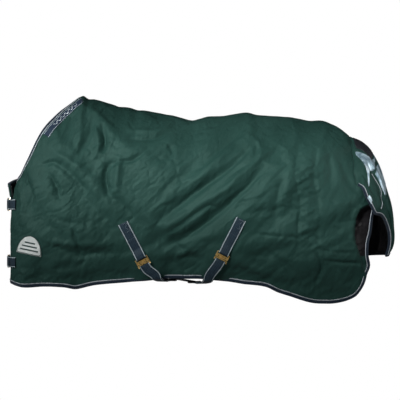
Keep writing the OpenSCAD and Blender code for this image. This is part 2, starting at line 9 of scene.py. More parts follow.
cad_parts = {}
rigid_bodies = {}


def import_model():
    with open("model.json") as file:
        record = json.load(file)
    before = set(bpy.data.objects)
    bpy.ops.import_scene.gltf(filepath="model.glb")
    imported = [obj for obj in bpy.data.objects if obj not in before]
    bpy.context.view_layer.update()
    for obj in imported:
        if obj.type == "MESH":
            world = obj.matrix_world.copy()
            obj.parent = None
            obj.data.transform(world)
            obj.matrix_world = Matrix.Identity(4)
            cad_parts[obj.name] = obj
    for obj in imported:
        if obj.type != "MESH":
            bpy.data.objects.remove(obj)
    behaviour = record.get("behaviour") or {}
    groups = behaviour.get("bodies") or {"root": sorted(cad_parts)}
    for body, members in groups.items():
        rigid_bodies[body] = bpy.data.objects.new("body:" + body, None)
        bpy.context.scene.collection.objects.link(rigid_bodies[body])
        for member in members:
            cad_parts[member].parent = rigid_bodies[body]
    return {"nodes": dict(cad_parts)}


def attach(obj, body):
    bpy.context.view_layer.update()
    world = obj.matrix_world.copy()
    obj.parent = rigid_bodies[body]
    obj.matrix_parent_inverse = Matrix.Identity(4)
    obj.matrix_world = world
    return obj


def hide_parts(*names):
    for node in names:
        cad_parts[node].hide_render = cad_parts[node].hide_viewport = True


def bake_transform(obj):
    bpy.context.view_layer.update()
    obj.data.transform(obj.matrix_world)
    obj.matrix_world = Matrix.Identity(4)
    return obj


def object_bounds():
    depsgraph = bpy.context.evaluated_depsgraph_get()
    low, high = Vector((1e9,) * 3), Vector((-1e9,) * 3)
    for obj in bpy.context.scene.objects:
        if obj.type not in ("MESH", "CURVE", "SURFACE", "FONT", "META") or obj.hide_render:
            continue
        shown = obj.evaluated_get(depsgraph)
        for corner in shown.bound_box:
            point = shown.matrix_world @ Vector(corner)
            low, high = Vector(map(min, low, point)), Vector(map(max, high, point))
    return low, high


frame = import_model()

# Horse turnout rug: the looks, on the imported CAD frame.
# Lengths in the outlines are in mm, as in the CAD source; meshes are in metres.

cad_low, cad_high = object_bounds()
MM = 0.001
TURN = 2 * math.pi
# The CAD frame's origin is this far below the outlines' origin, in mm.
LIFT = 14.0

# ---- outlines (mm, side view)
CREST = [
    (-870, -292), (-813, -142), (-776, -33), (-705, 48), (-634, 72), (-574, 93), (-521, 119),
    (-496, 102), (-466, 101), (-370, 73), (-352, 66), (-298, 61), (-262, 49), (-230, 48), (-115, 27),
    (-85, 22), (0, 0), (36, 8), (80, 19), (144, 21), (262, 38), (307, 27), (437, 18), (480, 14),
    (566, -2), (614, 0), (651, -10), (710, -40), (770, -90), (822, -134), (850, -170), (890, -244),
]
HEM = [
    (-870, -770), (-800, -784), (-715, -784), (-600, -787), (-545, -796), (-530, -794), (-450, -776),
    (-293, -762), (-158, -747), (-21, -747), (66, -748), (155, -757), (235, -770), (340, -783),
    (389, -806), (446, -824), (551, -856), (622, -862), (680, -860), (745, -844), (783, -820),
    (800, -794), (890, -784),
]
WIDE = [
    (-870, 262), (-560, 266), (-300, 284), (0, 294), (250, 300), (450, 296), (600, 281),
    (720, 258), (800, 236), (850, 214), (900, 184),
]
# The share of the side that the neck opening takes off the top, in front of the withers.
NECK_CUT = [
    (-870, 0.02), (-813, 0.193), (-776, 0.234), (-705, 0.137), (-634, 0.058), (-574, 0.018), (-521, 0),
]
REAR = [
    (0, 822), (0.13, 850), (0.2, 868), (0.27, 882), (0.34, 868), (0.42, 855), (0.52, 845), (0.6, 839),
    (0.7, 826), (0.78, 829), (0.84, 840), (0.91, 820), (1, 800),
]
CHEST_X, NOSE_X, WITHERS_X = -870, -560, -521
SPINE_GAP, DOME, TUCK = 1, 0.5, 0.10
PAD_T = 12.0
# The neck corner of the near front edge is set back, and the far one stands forward: (z, shift along x).
NEAR_CORNER = [(-600, 0.1), (-560, 2), (-430, 9), (-340, 25), (-290, 40), (-240, 40), (-160, 20), (-60, 0.1)]
FAR_CORNER = [(-600, 0), (-400, 0), (-350, -8), (-300, -14), (-240, -12), (-120, 0)]
CORNER_REACH = 150


def along(table, x):
    """A smooth line through a few points."""
    p = np.asarray(table, float)
    xs, ys = p[:, 0], p[:, 1]
    m = np.empty(len(xs))
    m[1:-1] = (ys[2:] - ys[:-2]) / (xs[2:] - xs[:-2])
    m[0] = (ys[1] - ys[0]) / (xs[1] - xs[0])
    m[-1] = (ys[-1] - ys[-2]) / (xs[-1] - xs[-2])
    x = np.clip(x, xs[0], xs[-1])
    k = np.clip(np.searchsorted(xs, x, side="right") - 1, 0, len(xs) - 2)
    h = xs[k + 1] - xs[k]
    u = (x - xs[k]) / h
    return (
        (2 * u**3 - 3 * u**2 + 1) * ys[k]
        + (u**3 - 2 * u**2 + u) * h * m[k]
        + (3 * u**2 - 2 * u**3) * ys[k + 1]
        + (u**3 - u**2) * h * m[k + 1]
    )


def smooth(a, b, x):
    """0 below a, 1 above b, and a smooth step between them."""
    u = np.clip((x - a) / (b - a), 0, 1)
    return u * u * (3 - 2 * u)


def half_w(x):
    """Half the width of the rug at its widest, at a station x."""
    nose = np.sqrt(np.clip(1 - ((NOSE_X - x) / (NOSE_X - CHEST_X)) ** 2, 0, 1))
    return along(WIDE, x) * np.where(x < NOSE_X, nose, 1)


def drape(g):
    """How far out the side stands at a share g of the way down: a dome on top, then a slight tuck."""
    dome = np.sqrt(np.clip(1 - (1 - g / DOME) ** 2, 0, 1))
    return np.where(g < DOME, dome, 1 - TUCK * ((g - DOME) / (1 - DOME)) ** 2)


def skin(t, v, far=False):
    """The plain surface at t along a side and v down it, both 0 to 1, given as the near side is."""
    gv = v * v / (0.25 + 0.75 * v)
    x = CHEST_X + (along(REAR, gv) - CHEST_X) * t * t / (0.12 + 0.88 * t)
    cut = np.where(x < WITHERS_X, along(NECK_CUT, x), 0)
    straight = np.clip((WITHERS_X - x) / 80, 0, 1)
    g = cut + (1 - cut) * ((1 - straight) * gv + straight * v)
    top, low = along(CREST, x), along(HEM, x)
    z = top + (low - top) * g
    y = -(SPINE_GAP + half_w(x) * drape(g))
    if far:
        x = x + along(FAR_CORNER, z) * (1 - smooth(CHEST_X, CHEST_X + CORNER_REACH, x))
    else:
        x = CHEST_X + ((x - CHEST_X) ** 4 + along(NEAR_CORNER, z) ** 4) ** 0.25
    return np.stack([x, y, z], -1)


# ---- noise and folds
def value_noise(x, y, seed):
    table = np.random.RandomState(seed).rand(64, 64)
    xi, yi = np.floor(x).astype(int), np.floor(y).astype(int)
    u, v = x - xi, y - yi
    u, v = u * u * u * (u * (u * 6 - 15) + 10), v * v * v * (v * (v * 6 - 15) + 10)
    a, b = table[xi % 64, yi % 64], table[(xi + 1) % 64, yi % 64]
    c, d = table[xi % 64, (yi + 1) % 64], table[(xi + 1) % 64, (yi + 1) % 64]
    return ((a * (1 - u) + b * u) * (1 - v) + (c * (1 - u) + d * u) * v) * 2 - 1


def streaks(x, z, angle, across, length, seed):
    """Noise drawn out along a direction in the side view."""
    c, s = math.cos(math.radians(angle)), math.sin(math.radians(angle))
    return value_noise((x * c + z * s) / length + 31, (-x * s + z * c) / across + 17, seed)


def curve_through(points, count):
    p = np.asarray(points, float)
    if len(p) == 2:
        u = np.linspace(0, 1, count)[:, None]
        return p[0] * (1 - u) + p[1] * u
    k = np.arange(len(p))
    u = np.linspace(0, len(p) - 1, count)
    return np.stack([along(np.stack([k, p[:, c]], 1), u) for c in range(p.shape[1])], 1)


def fold(x, z, points, height, width, lean=0.0):
    """A ridge or valley along a line in the side view. lean above 0 makes its left side steeper."""
    line = curve_through(points, 14)
    best = np.full(x.shape, 1e9)
    place = np.zeros(x.shape)
    side = np.zeros(x.shape)
    for k in range(len(line) - 1):
        a, d = line[k], line[k + 1] - line[k]
        u = np.clip(((x - a[0]) * d[0] + (z - a[1]) * d[1]) / (d @ d), 0, 1)
        dx, dz = x - a[0] - u * d[0], z - a[1] - u * d[1]
        dist = np.hypot(dx, dz)
        near = dist < best
        best = np.where(near, dist, best)
        place = np.where(near, (k + u) / (len(line) - 1), place)
        side = np.where(near, np.sign(d[0] * dz - d[1] * dx), side)
    w = width * (1 - lean * side) * (0.75 + 0.5 * place)
    ends = np.clip(np.sin(math.pi * np.clip(place, 0, 1)), 0, 1) ** 0.6
    return height * ends * np.exp(-((best / w) ** 2))


# Folds seen on the near side: points (x, z) in mm, height in mm, width in mm, lean.
NEAR_FOLDS = [
    ([(300, -105), (171, -232), (25, -342), (-97, -433), (-170, -490)], -13, 26, 0.3),
    ([(330, -140), (215, -270), (60, -400), (-60, -480), (-150, -540)], 11, 34, -0.2),
    ([(345, -215), (225, -350), (98, -460), (-24, -545), (-150, -606)], -13, 24, 0.3),
    ([(380, -260), (270, -400), (150, -500), (20, -590), (-90, -650)], 9, 36, -0.2),
    ([(150, -350), (49, -420), (-85, -513), (-225, -572)], -8, 20, 0.2),
    ([(230, -60), (120, -150), (10, -250), (-90, -330)], -7, 30, 0.2),
    ([(200, -120), (90, -230), (-10, -310)], 7, 30, 0),
    ([(-120, -545), (-230, -600), (-366, -625)], -9, 24, 0.2),
    ([(-417, -20), (-398, -104), (-412, -160)], -11, 15, 0.1),
    ([(-450, -30), (-432, -110), (-440, -190)], 7, 20, 0),
    ([(-384, -210), (-394, -293), (-376, -365)], -13, 17, 0.2),
    ([(-330, -175), (-343, -268), (-352, -370)], 9, 22, 0),
    ([(-190, -138), (-268, -195), (-341, -206), (-395, -236)], -8, 15, 0.2),
    ([(-105, -115), (-90, -165), (-150, -205)], -6, 14, 0),
    ([(-330, -100), (-195, -92), (-97, -55), (0, -28)], -7, 17, 0.1),
    ([(-300, -50), (-180, -55), (-80, -25)], 5, 16, 0),
    ([(-455, 30), (-475, -73), (-512, -146), (-570, -240)], -8, 20, 0.1),
    ([(-560, 50), (-570, -40), (-600, -120)], -5, 18, 0),
    ([(-663, -250), (-622, -317), (-612, -375)], -9, 14, 0.2),
    ([(-700, -215), (-634, -203), (-561, -256), (-470, -345)], -8, 16, 0.2),
    ([(-640, -160), (-560, -200), (-480, -270)], 6, 20, 0),
    ([(-756, -290), (-742, -366), (-768, -450)], -7, 18, 0),
    ([(-800, -330), (-790, -420), (-800, -500)], 5, 18, 0),
    ([(-548, -505), (-530, -560), (-508, -625)], -7, 12, 0.1),
    ([(-650, -452), (-540, -486), (-430, -470)], -3, 15, 0.1),
    ([(-650, -588), (-500, -634), (-330, -612)], -4, 19, 0.1),
    ([(-700, -570), (-512, -585), (-300, -570)], 5, 20, 0),
    ([(-660, -704), (-560, -690), (-450, -660)], -3, 20, 0.1),
    ([(624, -125), (649, -232), (630, -330)], -7, 22, 0.1),
    ([(690, -170), (720, -260), (750, -350)], -6, 22, 0.1),
    ([(417, -285), (388, -379), (378, -520)], -7, 20, 0.2),
    ([(470, -170), (440, -300), (430, -450)], 5, 28, 0),
    ([(300, -110), (290, -180), (220, -260)], -6, 16, 0.1),
    ([(563, -611), (600, -690), (575, -770)], -7, 12, 0.2),
    ([(600, -656), (700, -668), (800, -672)], -5, 9, 0.1),
    ([(330, -600), (430, -680), (500, -760)], -6, 22, 0.1),
    ([(150, -600), (260, -690), (380, -740)], 5, 26, 0),
    ([(-60, -660), (0, -640), (70, -660)], -5, 18, 0),
]
# The far side isn't seen: the same kinds of folds, placed by themselves.
FAR_FOLDS = [
    ([(330, -120), (190, -260), (40, -380), (-120, -480)], -12, 26, 0.3),
    ([(360, -200), (240, -330), (90, -450), (-80, -560)], 10, 34, -0.2),
    ([(250, -60), (110, -170), (-40, -260), (-180, -330)], -9, 24, 0.2),
    ([(400, -330), (280, -470), (130, -580), (-30, -660)], -10, 26, 0.2),
    ([(-430, -20), (-410, -120), (-440, -220)], -10, 18, 0.1),
    ([(-350, -120), (-330, -240), (-360, -360)], 8, 24, 0),
    ([(-560, -60), (-600, -200), (-650, -330)], -8, 20, 0.1),
    ([(-480, -150), (-540, -280), (-620, -420)], 7, 26, 0),
    ([(-720, -300), (-700, -420), (-730, -540)], -8, 18, 0.1),
    ([(-620, -600), (-450, -620), (-280, -600)], -6, 14, 0.1),
    ([(430, -620), (560, -660), (700, -650)], -6, 14, 0.1),
    ([(640, -140), (670, -280), (650, -420)], -9, 22, 0.1),
    ([(740, -400), (720, -540), (730, -680)], -9, 24, 0.1),
    ([(480, -200), (450, -350), (440, -500)], -6, 24, 0.1),
]
FOLD_GAIN, FOLD_TIGHT = 1.65, 0.82
DART_X, DART_HALF, DART_TOP, DART_LOW = 528, 50, -110, -600
SEAMS = [
    [(240, -528), (343, -540), (441, -548), (520, -562)],
    [(560, -600), (640, -616), (720, -624), (800, -620)],
]
ARCH = [(-770, 826), (-720, 806), (-640, 776), (-545, 748), (-471, 752), (-430, 768), (-411, 790)]
# The painted shade in the rear hollow stops above this height, in mm.
HOLLOW_SHADE_END = -640
FLAT_SPOTS = [
    (-275, -570, 110), (-200, -690, 80), (185, -550, 110), (115, -675, 80), (-760, -590, 80),
    (-850, -400, 60), (-850, -672, 60),
]


def relief(x, z, folds, seed, rear_hollow):
    """How far the cloth stands off its plain surface, in mm."""
    d = np.zeros(x.shape)
    for points, height, width, lean in folds:
        d += FOLD_GAIN * fold(x, z, points, height, width * FOLD_TIGHT, lean)
    barrel = smooth(-380, -120, x) * (1 - smooth(380, 520, x))
    front = 1 - smooth(-420, -200, x)
    rear = smooth(430, 560, x)
    d += barrel * (3.2 * streaks(x, z, 42, 34, 190, seed) + 1.4 * streaks(x, z, 38, 15, 80, seed + 1))
    d += front * (2.6 * streaks(x, z, 68, 34, 120, seed + 2) + 1.3 * streaks(x, z, 30, 17, 60, seed + 3))
    d += rear * (2.4 * streaks(x, z, 82, 36, 150, seed + 4) + 1.2 * streaks(x, z, 60, 16, 60, seed + 5))
    for angle, across, length, deep, part, other in (
        (20, 42, 60, 2.2, 1, 6), (44, 30, 150, 3.0, barrel, 30), (36, 24, 90, 2.4, 1 - barrel, 32),
        (66, 34, 130, 2.6, front, 34), (84, 28, 120, 2.6, rear, 36),
    ):
        crease = np.abs(streaks(x, z, angle, across, length, seed + other))
        some = smooth(-0.1, 0.4, streaks(x, z, 0, 130, 130, seed + other + 1))
        d -= deep * part * np.exp(-((crease / 0.11) ** 2)) * some
    # Gathered strip at the hip.
    wob = DART_X + 16 * streaks(x, z, 90, 70, 130, seed + 8) + 5 * streaks(x, z, 90, 30, 40, seed + 13)
    u = (x - wob) / (DART_HALF * (0.82 + 0.25 * streaks(x, z, 90, 80, 150, seed + 14)))
    inside = smooth(DART_LOW - 60, DART_LOW + 60, z) * (1 - smooth(DART_TOP - 120, DART_TOP + 20, z))
    for e, k, other in ((-1, 1.0, 15), (1, 0.8, 16)):
        uneven = 0.55 + 0.45 * streaks(x, z, 90, 50, 80, seed + other)
        d -= k * 10 * inside * uneven * np.exp(-(((u - e) / 0.2) ** 2))
    pucker = streaks(x, z, 28, 12, 52, seed + 9) + 0.7 * streaks(x, z, -38, 14, 44, seed + 10)
    d += inside * np.exp(-((u / 1.2) ** 4)) * 5.0 * pucker
    d += inside * 4.0 * np.exp(-((u / 0.7) ** 2))
    for points in SEAMS:
        d += fold(x, z, points, -3.4, 7)
        d += fold(x, z, points, 1.8, 26) * streaks(x, z, 90, 14, 40, seed + 11)
    if rear_hollow:
        q = in_arch(x, z) + 4 * streaks(x, z, 90, 40, 90, seed + 12)
        d -= 7 * smooth(-2, 9, q) + 46 * np.clip(q / 85, 0, 1.1) ** 0.9
        d += 5 * np.exp(-(((q + 14) / 12) ** 2))
    return d


def in_arch(x, z):
    """How far a place is inside the arched hollow at the near rear edge, in mm along x."""
    return x - along(ARCH, z) - 3 * np.clip(z - ARCH[-1][0], 0, None) - 0.8 * np.clip(ARCH[0][0] - z, 0, None)


def unit(v):
    return v / np.linalg.norm(v, axis=-1, keepdims=True)


def travel(p):
    """How far along a path each of its points is."""
    return np.concatenate([[0], np.cumsum(np.linalg.norm(np.diff(p, axis=0), axis=1))])


def normals_of(p):
    n = np.cross(np.gradient(p, axis=1), np.gradient(p, axis=0))
    return n / np.maximum(np.linalg.norm(n, axis=-1, keepdims=True), 1e-12)


COLS, ROWS = 300, 170
# The cloth simulation takes every second point of the grid, and runs for this many frames.
SIM_STEP, SIM_FRAMES = 2, 20


def blurred(a, sigma):
    """Gaussian blur of a grid, edges held."""
    r = int(3 * sigma)
    k = np.exp(-0.5 * (np.arange(-r, r + 1) / sigma) ** 2)
    k /= k.sum()
    for axis in (0, 1):
        pad = [(0, 0), (0, 0)]
        pad[axis] = (r, r)
        big = np.pad(a, pad, mode="edge")
        a = np.apply_along_axis(lambda row: np.convolve(row, k, mode="valid"), axis, big)
    return a


def grid_quads(m, n):
    i, j = np.meshgrid(np.arange(m - 1), np.arange(n - 1), indexing="ij")
    a = (i * n + j).ravel()
    return np.stack([a, a + 1, a + n + 1, a + n], 1)


def finer(a, rows, cols):
    """Resample a grid with smooth interpolation."""
    u = np.linspace(0, a.shape[0] - 1, rows)
    v = np.linspace(0, a.shape[1] - 1, cols)
    ku, kv = np.arange(a.shape[0]), np.arange(a.shape[1])
    a = np.stack([along(np.stack([ku, a[:, c]], 1), u) for c in range(a.shape[1])], 1)
    return np.stack([along(np.stack([kv, a[r]], 1), v) for r in range(rows)], 0)


def crumple(start, n, grow, bend, hold, reach):
    """Cloth simulation: the panel is a little too large for its edges, so it buckles into soft wrinkles."""
    rows, cols = start.shape[:2]
    p = start[::SIM_STEP, ::SIM_STEP]
    pn = n[::SIM_STEP, ::SIM_STEP]
    m, k = p.shape[:2]
    me = bpy.data.meshes.new("cloth_sim")
    me.from_pydata((p.reshape(-1, 3) * MM).tolist(), [], grid_quads(m, k).tolist())
    o = bpy.data.objects.new("cloth_sim", me)
    bpy.context.scene.collection.objects.link(o)
    group = o.vertex_groups.new(name="pin")
    i, j = np.meshgrid(np.arange(m), np.arange(k), indexing="ij")
    edge = np.minimum(np.minimum(i, m - 1 - i), np.minimum(j, k - 1 - j)).ravel()
    for q, e in enumerate(edge):
        group.add([q], 1.0 if e == 0 else float(hold + (1 - hold) * math.exp(-e / 1.5)), "REPLACE")
    cloth = o.modifiers.new("cloth", "CLOTH")
    c = cloth.settings
    c.quality = 5
    c.mass = 0.15
    c.air_damping = 2.0
    c.tension_stiffness = c.compression_stiffness = 25.0
    c.shear_stiffness = 12.0
    c.bending_stiffness = bend
    c.vertex_group_mass = "pin"
    c.pin_stiffness = 1.0
    c.shrink_min = -grow
    c.effector_weights.gravity = 0.15
    cloth.collision_settings.use_collision = False
    cloth.point_cache.frame_start = 1
    cloth.point_cache.frame_end = SIM_FRAMES
    for frame_no in range(1, SIM_FRAMES + 1):
        bpy.context.scene.frame_set(frame_no)
    ev = o.evaluated_get(bpy.context.evaluated_depsgraph_get())
    q = np.empty(m * k * 3)
    ev.data.vertices.foreach_get("co", q)
    d = ((q.reshape(m, k, 3) / MM - p) * pn).sum(-1)
    bpy.data.objects.remove(o)
    bpy.data.meshes.remove(me)
    bpy.context.scene.frame_set(1)
    d -= blurred(d, 9)
    return finer(reach * np.tanh(d / reach), rows, cols)


# Rough height and length of a side, in mm, and how far the lower edge turns in, over what height.
SIDE_H, SIDE_L = 900, 1500
TURN_IN, TURN_OVER = 44, 280


def body_grid(folds, seed, far, grow, bend, hold):
    """A side of the rug: its plain surface, its normals and the surface with folds and wrinkles."""
    t, v = np.meshgrid(np.linspace(0, 1, COLS + 1), np.linspace(0, 1, ROWS + 1), indexing="ij")
    p = skin(t, v, far)
    n = normals_of(p)
    x, z = p[..., 0], p[..., 2]
    d = relief(x, z, folds, seed, not far)
    neck = 1 - smooth(WITHERS_X - 60, WITHERS_X, x)
    top_fade = smooth(0.0, 0.16, v) * (1 - neck) + smooth(-0.04, 0.10, v) * neck
    hem_d, rear_d = (1 - v) * SIDE_H, (1 - t) * SIDE_L
    front_fade = smooth(0.0, 0.06, t)
    fade = top_fade * front_fade * (0.35 + 0.65 * smooth(0, 60, hem_d)) * (0.4 + 0.6 * smooth(0, 50, rear_d))
    d = d * fade
    d += 0.62 * crumple(p + n * d[..., None], n, grow, bend, hold, 13.0) * (0.25 + 0.75 * fade)
    # The lower edge turns under the belly.
    above = z - along(HEM, x)
    d -= TURN_IN * (1 - smooth(0, TURN_OVER, above)) * smooth(-800, -700, x) * (1 - 0.5 * smooth(730, 820, x))
    for cx, cz, r in FLAT_SPOTS:
        k = np.exp(-(((x - cx) ** 2 + (z - cz) ** 2) / r**2) ** 2)
        d = d * (1 - 0.7 * k) - 1.0 * k
    # Small gathers along the bound edges.
    d += 1.6 * np.exp(-((hem_d / 30) ** 2)) * streaks(x, z, 90, 24, 80, seed + 20)
    d += 1.6 * np.exp(-((rear_d / 30) ** 2)) * streaks(x, z, 0, 26, 80, seed + 21)
    return p, n, p + n * d[..., None]


# ---- meshes
CORD_SIDES, THREAD_SIDES = 8, 5


def to_world(p, far=False):
    q = np.array(p, float)
    if far:
        q = q * [1, -1, 1]
    return (q + [0, 0, LIFT]) * MM


def add_mesh(name, verts, faces, mats, uvs=None, mat_ids=None, flip=False):
    me = bpy.data.meshes.new(name)
    turn = -1 if flip else 1
    me.from_pydata([tuple(v) for v in verts], [], [tuple(int(i) for i in f[::turn]) for f in faces])
    if uvs is not None:
        layer = me.uv_layers.new(name="UVMap")
        idx = np.empty(len(me.loops), np.int32)
        me.loops.foreach_get("vertex_index", idx)
        layer.data.foreach_set("uv", np.asarray(uvs, np.float32)[idx].ravel())
    for m in mats:
        me.materials.append(m)
    if mat_ids is not None:
        me.polygons.foreach_set("material_index", np.asarray(mat_ids, np.int32))
    me.polygons.foreach_set("use_smooth", np.ones(len(me.polygons), bool))
    me.validate()
    me.update()
    o = bpy.data.objects.new(name, me)
    bpy.context.scene.collection.objects.link(o)
    return o


def on_body(o, body, slot, *nodes):
    """Fixes a piece to a body, in place of the CAD nodes named. slot is not used."""
    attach(o, body)
    if nodes:
        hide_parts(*nodes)


def on_rug(o, slot, *nodes):
    on_body(o, "rug", slot, *nodes)


def slab(name, outer, inner, mats, far=False, across=None):
    """A closed sheet between two grids of points in mm. across sets an even width for its UVs."""
    m, n = outer.shape[:2]
    quad = grid_quads(m, n)
    base = m * n
    loop = np.concatenate([
        np.arange(m) * n, (m - 1) * n + np.arange(1, n),
        np.arange(m - 2, -1, -1) * n + n - 1, np.arange(n - 2, 0, -1),
    ])
    nxt = np.roll(loop, -1)
    faces = np.concatenate([quad, (quad + base)[:, ::-1], np.stack([loop, nxt, nxt + base, loop + base], 1)])
    ids = [0] * len(quad) + [min(1, len(mats) - 1)] * len(quad) + [0] * len(loop)
    lu = np.concatenate([np.zeros((1, n)), np.cumsum(np.linalg.norm(np.diff(outer, axis=0), axis=-1), 0)])
    lv = np.concatenate([np.zeros((m, 1)), np.cumsum(np.linalg.norm(np.diff(outer, axis=1), axis=-1), 1)], 1)
    if across:
        lv = np.repeat(np.linspace(0, across, n)[None], m, 0)
    uv = np.stack([lu * MM, lv * MM], -1).reshape(-1, 2)
    verts = np.concatenate([to_world(outer, far).reshape(-1, 3), to_world(inner, far).reshape(-1, 3)])
    return add_mesh(name, verts, faces, mats, np.concatenate([uv, uv]), ids, flip=far)


def sweep(name, path, ups, profile, mat, far=False):
    """A closed profile of (across, up) points in mm swept along a path of points in mm."""
    path, ups, prof = (np.asarray(q, float) for q in (path, ups, profile))
    d = unit(np.gradient(path, axis=0))
    side = unit(np.cross(d, ups))
    up = np.cross(side, d)
    m, n = len(path), len(prof)
    ring = path[:, None, :] + prof[None, :, :1] * side[:, None, :] + prof[None, :, 1:2] * up[:, None, :]
    i, j = np.meshgrid(np.arange(m - 1), np.arange(n), indexing="ij")
    a, b = (i * n + j).ravel(), (i * n + (j + 1) % n).ravel()
    caps = [range(n - 1, -1, -1), range((m - 1) * n, m * n)]
    width = (prof[:, 0] - prof[:, 0].min()) / (np.ptp(prof[:, 0]) or 1)
    uv = np.stack(np.broadcast_arrays(travel(path)[:, None] * MM, width[None]), -1).reshape(-1, 2)
    faces = [*np.stack([a, b, b + n, a + n], 1), *caps]
    return add_mesh(name, to_world(ring.reshape(-1, 3), far), faces, (mat,), uv, flip=not far)


def round_box(w, h, r, steps=3, low=0.0):
    """Profile of a flat strap with rounded edges, its underside at height low."""
    pts = []
    right, left, top, foot = w / 2 - r, -w / 2 + r, low + h - r, low + r
    for cx, cy, a0 in ((right, top, 0), (left, top, 90), (left, foot, 180), (right, foot, 270)):
        for k in range(steps + 1):
            a = math.radians(a0 + 90 * k / steps)
            pts.append((cx + r * math.cos(a), cy + r * math.sin(a)))
    return pts


def tube(r, cx=0.0, cy=0.0):
    """Profile of a round cord."""
    angles = [TURN * k / CORD_SIDES for k in range(CORD_SIDES)]
    return [(cx + r * math.cos(a), cy + r * math.sin(a)) for a in angles]


# ---- materials
def node(nt, kind, **props):
    n = nt.nodes.new(kind)
    for k, v in props.items():
        setattr(n, k, v)
    return n


def put(nt, value, socket):
    """Links a value to a socket, or sets the socket to a number, a colour or a vector."""
    if isinstance(value, Value):
        nt.links.new(value.socket, socket)
    elif isinstance(value, tuple):
        socket.default_value = (*value, 1)[:len(socket.default_value)]
    elif value is not None:
        socket.default_value = value


class Value:
    """A shader value. An expression on it makes the Math nodes that work the expression out."""

    def __init__(self, nt, socket):
        self.nt, self.socket = nt, socket

    def op(self, kind, other=None):
        n = node(self.nt, "ShaderNodeMath", operation=kind)
        put(self.nt, self, n.inputs[0])
        put(self.nt, other, n.inputs[1])
        return Value(self.nt, n.outputs[0])

    def __add__(self, other):
        return self.op("ADD", other)

    def __sub__(self, other):
        return self.op("SUBTRACT", other)

    def __mul__(self, other):
        return self.op("MULTIPLY", other)

    def __lt__(self, other):
        return self.op("LESS_THAN", other)

    def __abs__(self):
        return self.op("ABSOLUTE")

    def wave(self, length):
        """A sine that repeats over length."""
        return (self * (TURN / length)).op("SINE")


class Material:
    """A Principled material while its nodes are put together."""

    def __init__(self, name, color, rough, sheen=0.0, metallic=0.0, spec=0.5):
        self.made = bpy.data.materials.new(name)
        self.made.use_nodes = True
        self.nt = self.made.node_tree
        self.inputs = self.nt.nodes["Principled BSDF"].inputs
        self.feed(Base_Color=color, Roughness=rough, Metallic=metallic, Specular_IOR_Level=spec)
        if sheen:
            self.feed(Sheen_Weight=sheen, Sheen_Roughness=0.5)

    def feed(self, **values):
        for name, value in values.items():
            put(self.nt, value, self.inputs[name.replace("_", " ")])

    def make(self, kind, out, values, **props):
        """A new node with its inputs filled in; gives one of its outputs."""
        n = node(self.nt, kind, **props)
        for k, v in values.items():
            put(self.nt, v, n.inputs[k])
        return Value(self.nt, n.outputs[out])

    def place(self):
        return self.make("ShaderNodeTexCoord", "Object", {})

    def uv(self):
        at = self.make("ShaderNodeUVMap", 0, {}, uv_map="UVMap")
        return [self.make("ShaderNodeSeparateXYZ", k, {0: at}) for k in (0, 1)]

    def mapped(self, kind, location, rotation, scale):
        values = {"Vector": self.place(), "Location": location, "Rotation": rotation, "Scale": scale}
        return self.make("ShaderNodeMapping", 0, values, vector_type=kind)

    def noise(self, scale, detail=3.0, rough=0.55, at=None):
        values = {"Scale": scale, "Detail": detail, "Roughness": rough, "Vector": at or self.place()}
        return self.make("ShaderNodeTexNoise", "Fac", values)

    def mix(self, share, a, b):
        return self.make("ShaderNodeMix", 2, {0: share, 6: a, 7: b}, data_type="RGBA")

    def ramp(self, share, *stops):
        n = node(self.nt, "ShaderNodeValToRGB")
        e = n.color_ramp.elements
        while len(e) > 1:
            e.remove(e[-1])
        e[0].position, e[0].color = stops[0][0], (*stops[0][1], 1)
        for pos, color in stops[1:]:
            e.new(pos).color = (*color, 1)
        put(self.nt, share, n.inputs[0])
        return Value(self.nt, n.outputs[0])

    def bump(self, height, strength, distance, under=None):
        values = {"Strength": strength, "Distance": distance, "Height": height, "Normal": under}
        return self.make("ShaderNodeBump", 0, values)

    def weave(self, period):
        """Plain weave: two crossed sines in UV metres."""
        u, v = self.uv()
        return u.wave(period) * v.wave(period)


def cloth_mat(name, dark, light, rough, period, weave, sheen, spec=0.35, creased=0.0):
    m = Material(name, light, rough, sheen, spec=spec)
    patches = m.noise(4.0, 4.0) * 0.7 + m.noise(260.0, 2.0) * 0.3
    m.feed(Base_Color=m.ramp(patches, (0.35, dark), (0.62, light)))
    m.feed(Roughness=m.noise(18.0) * 0.18 + (rough - 0.09))
    n = m.bump(m.noise(55.0), 0.18, 0.004, m.bump(m.weave(period), weave, 0.0003))
    # Thin sharp creases, drawn out along two directions of the hang.
    for turn, shift in ((-0.72, 0.0), (-1.3, 7.3)) if creased else ():
        lie = m.mapped("TEXTURE", (shift, shift, shift), (0.0, turn, 0.0), (0.22, 0.1, 0.075))
        line = (abs(m.noise(1.0, at=lie) - 0.5) * 9.0).op("MINIMUM", 1.0)
        n = m.bump(line, creased, 0.006, n)
    m.feed(Normal=n)
    return m.made


def webbing_mat():
    m = Material("woven_webbing", (0.012, 0.026, 0.04), 0.62, 0.05, spec=0.2)
    u, v = m.uv()
    # Pale line near each edge, and a faint boxed weave between them.
    off = abs(v - 0.5)
    along_u, along_v = u * (TURN / 0.011), v * (TURN * 3)
    box = (along_u + along_v).op("SINE") * (along_u - along_v).op("SINE")
    base = m.ramp(m.noise(90.0), (0.3, (0.005, 0.014, 0.024)), (0.7, (0.011, 0.026, 0.040)))
    weave = m.mix(box.op("MAXIMUM", 0.0) * (off < 0.34) * 0.55, base, (0.030, 0.060, 0.085))
    m.feed(Base_Color=m.mix(abs(off - 0.425) < 0.03, weave, (0.34, 0.41, 0.43)))
    m.feed(Normal=m.bump((v * (TURN * 17)).op("SINE") * 0.5 + box * 0.5, 0.5, 0.0005))
    return m.made


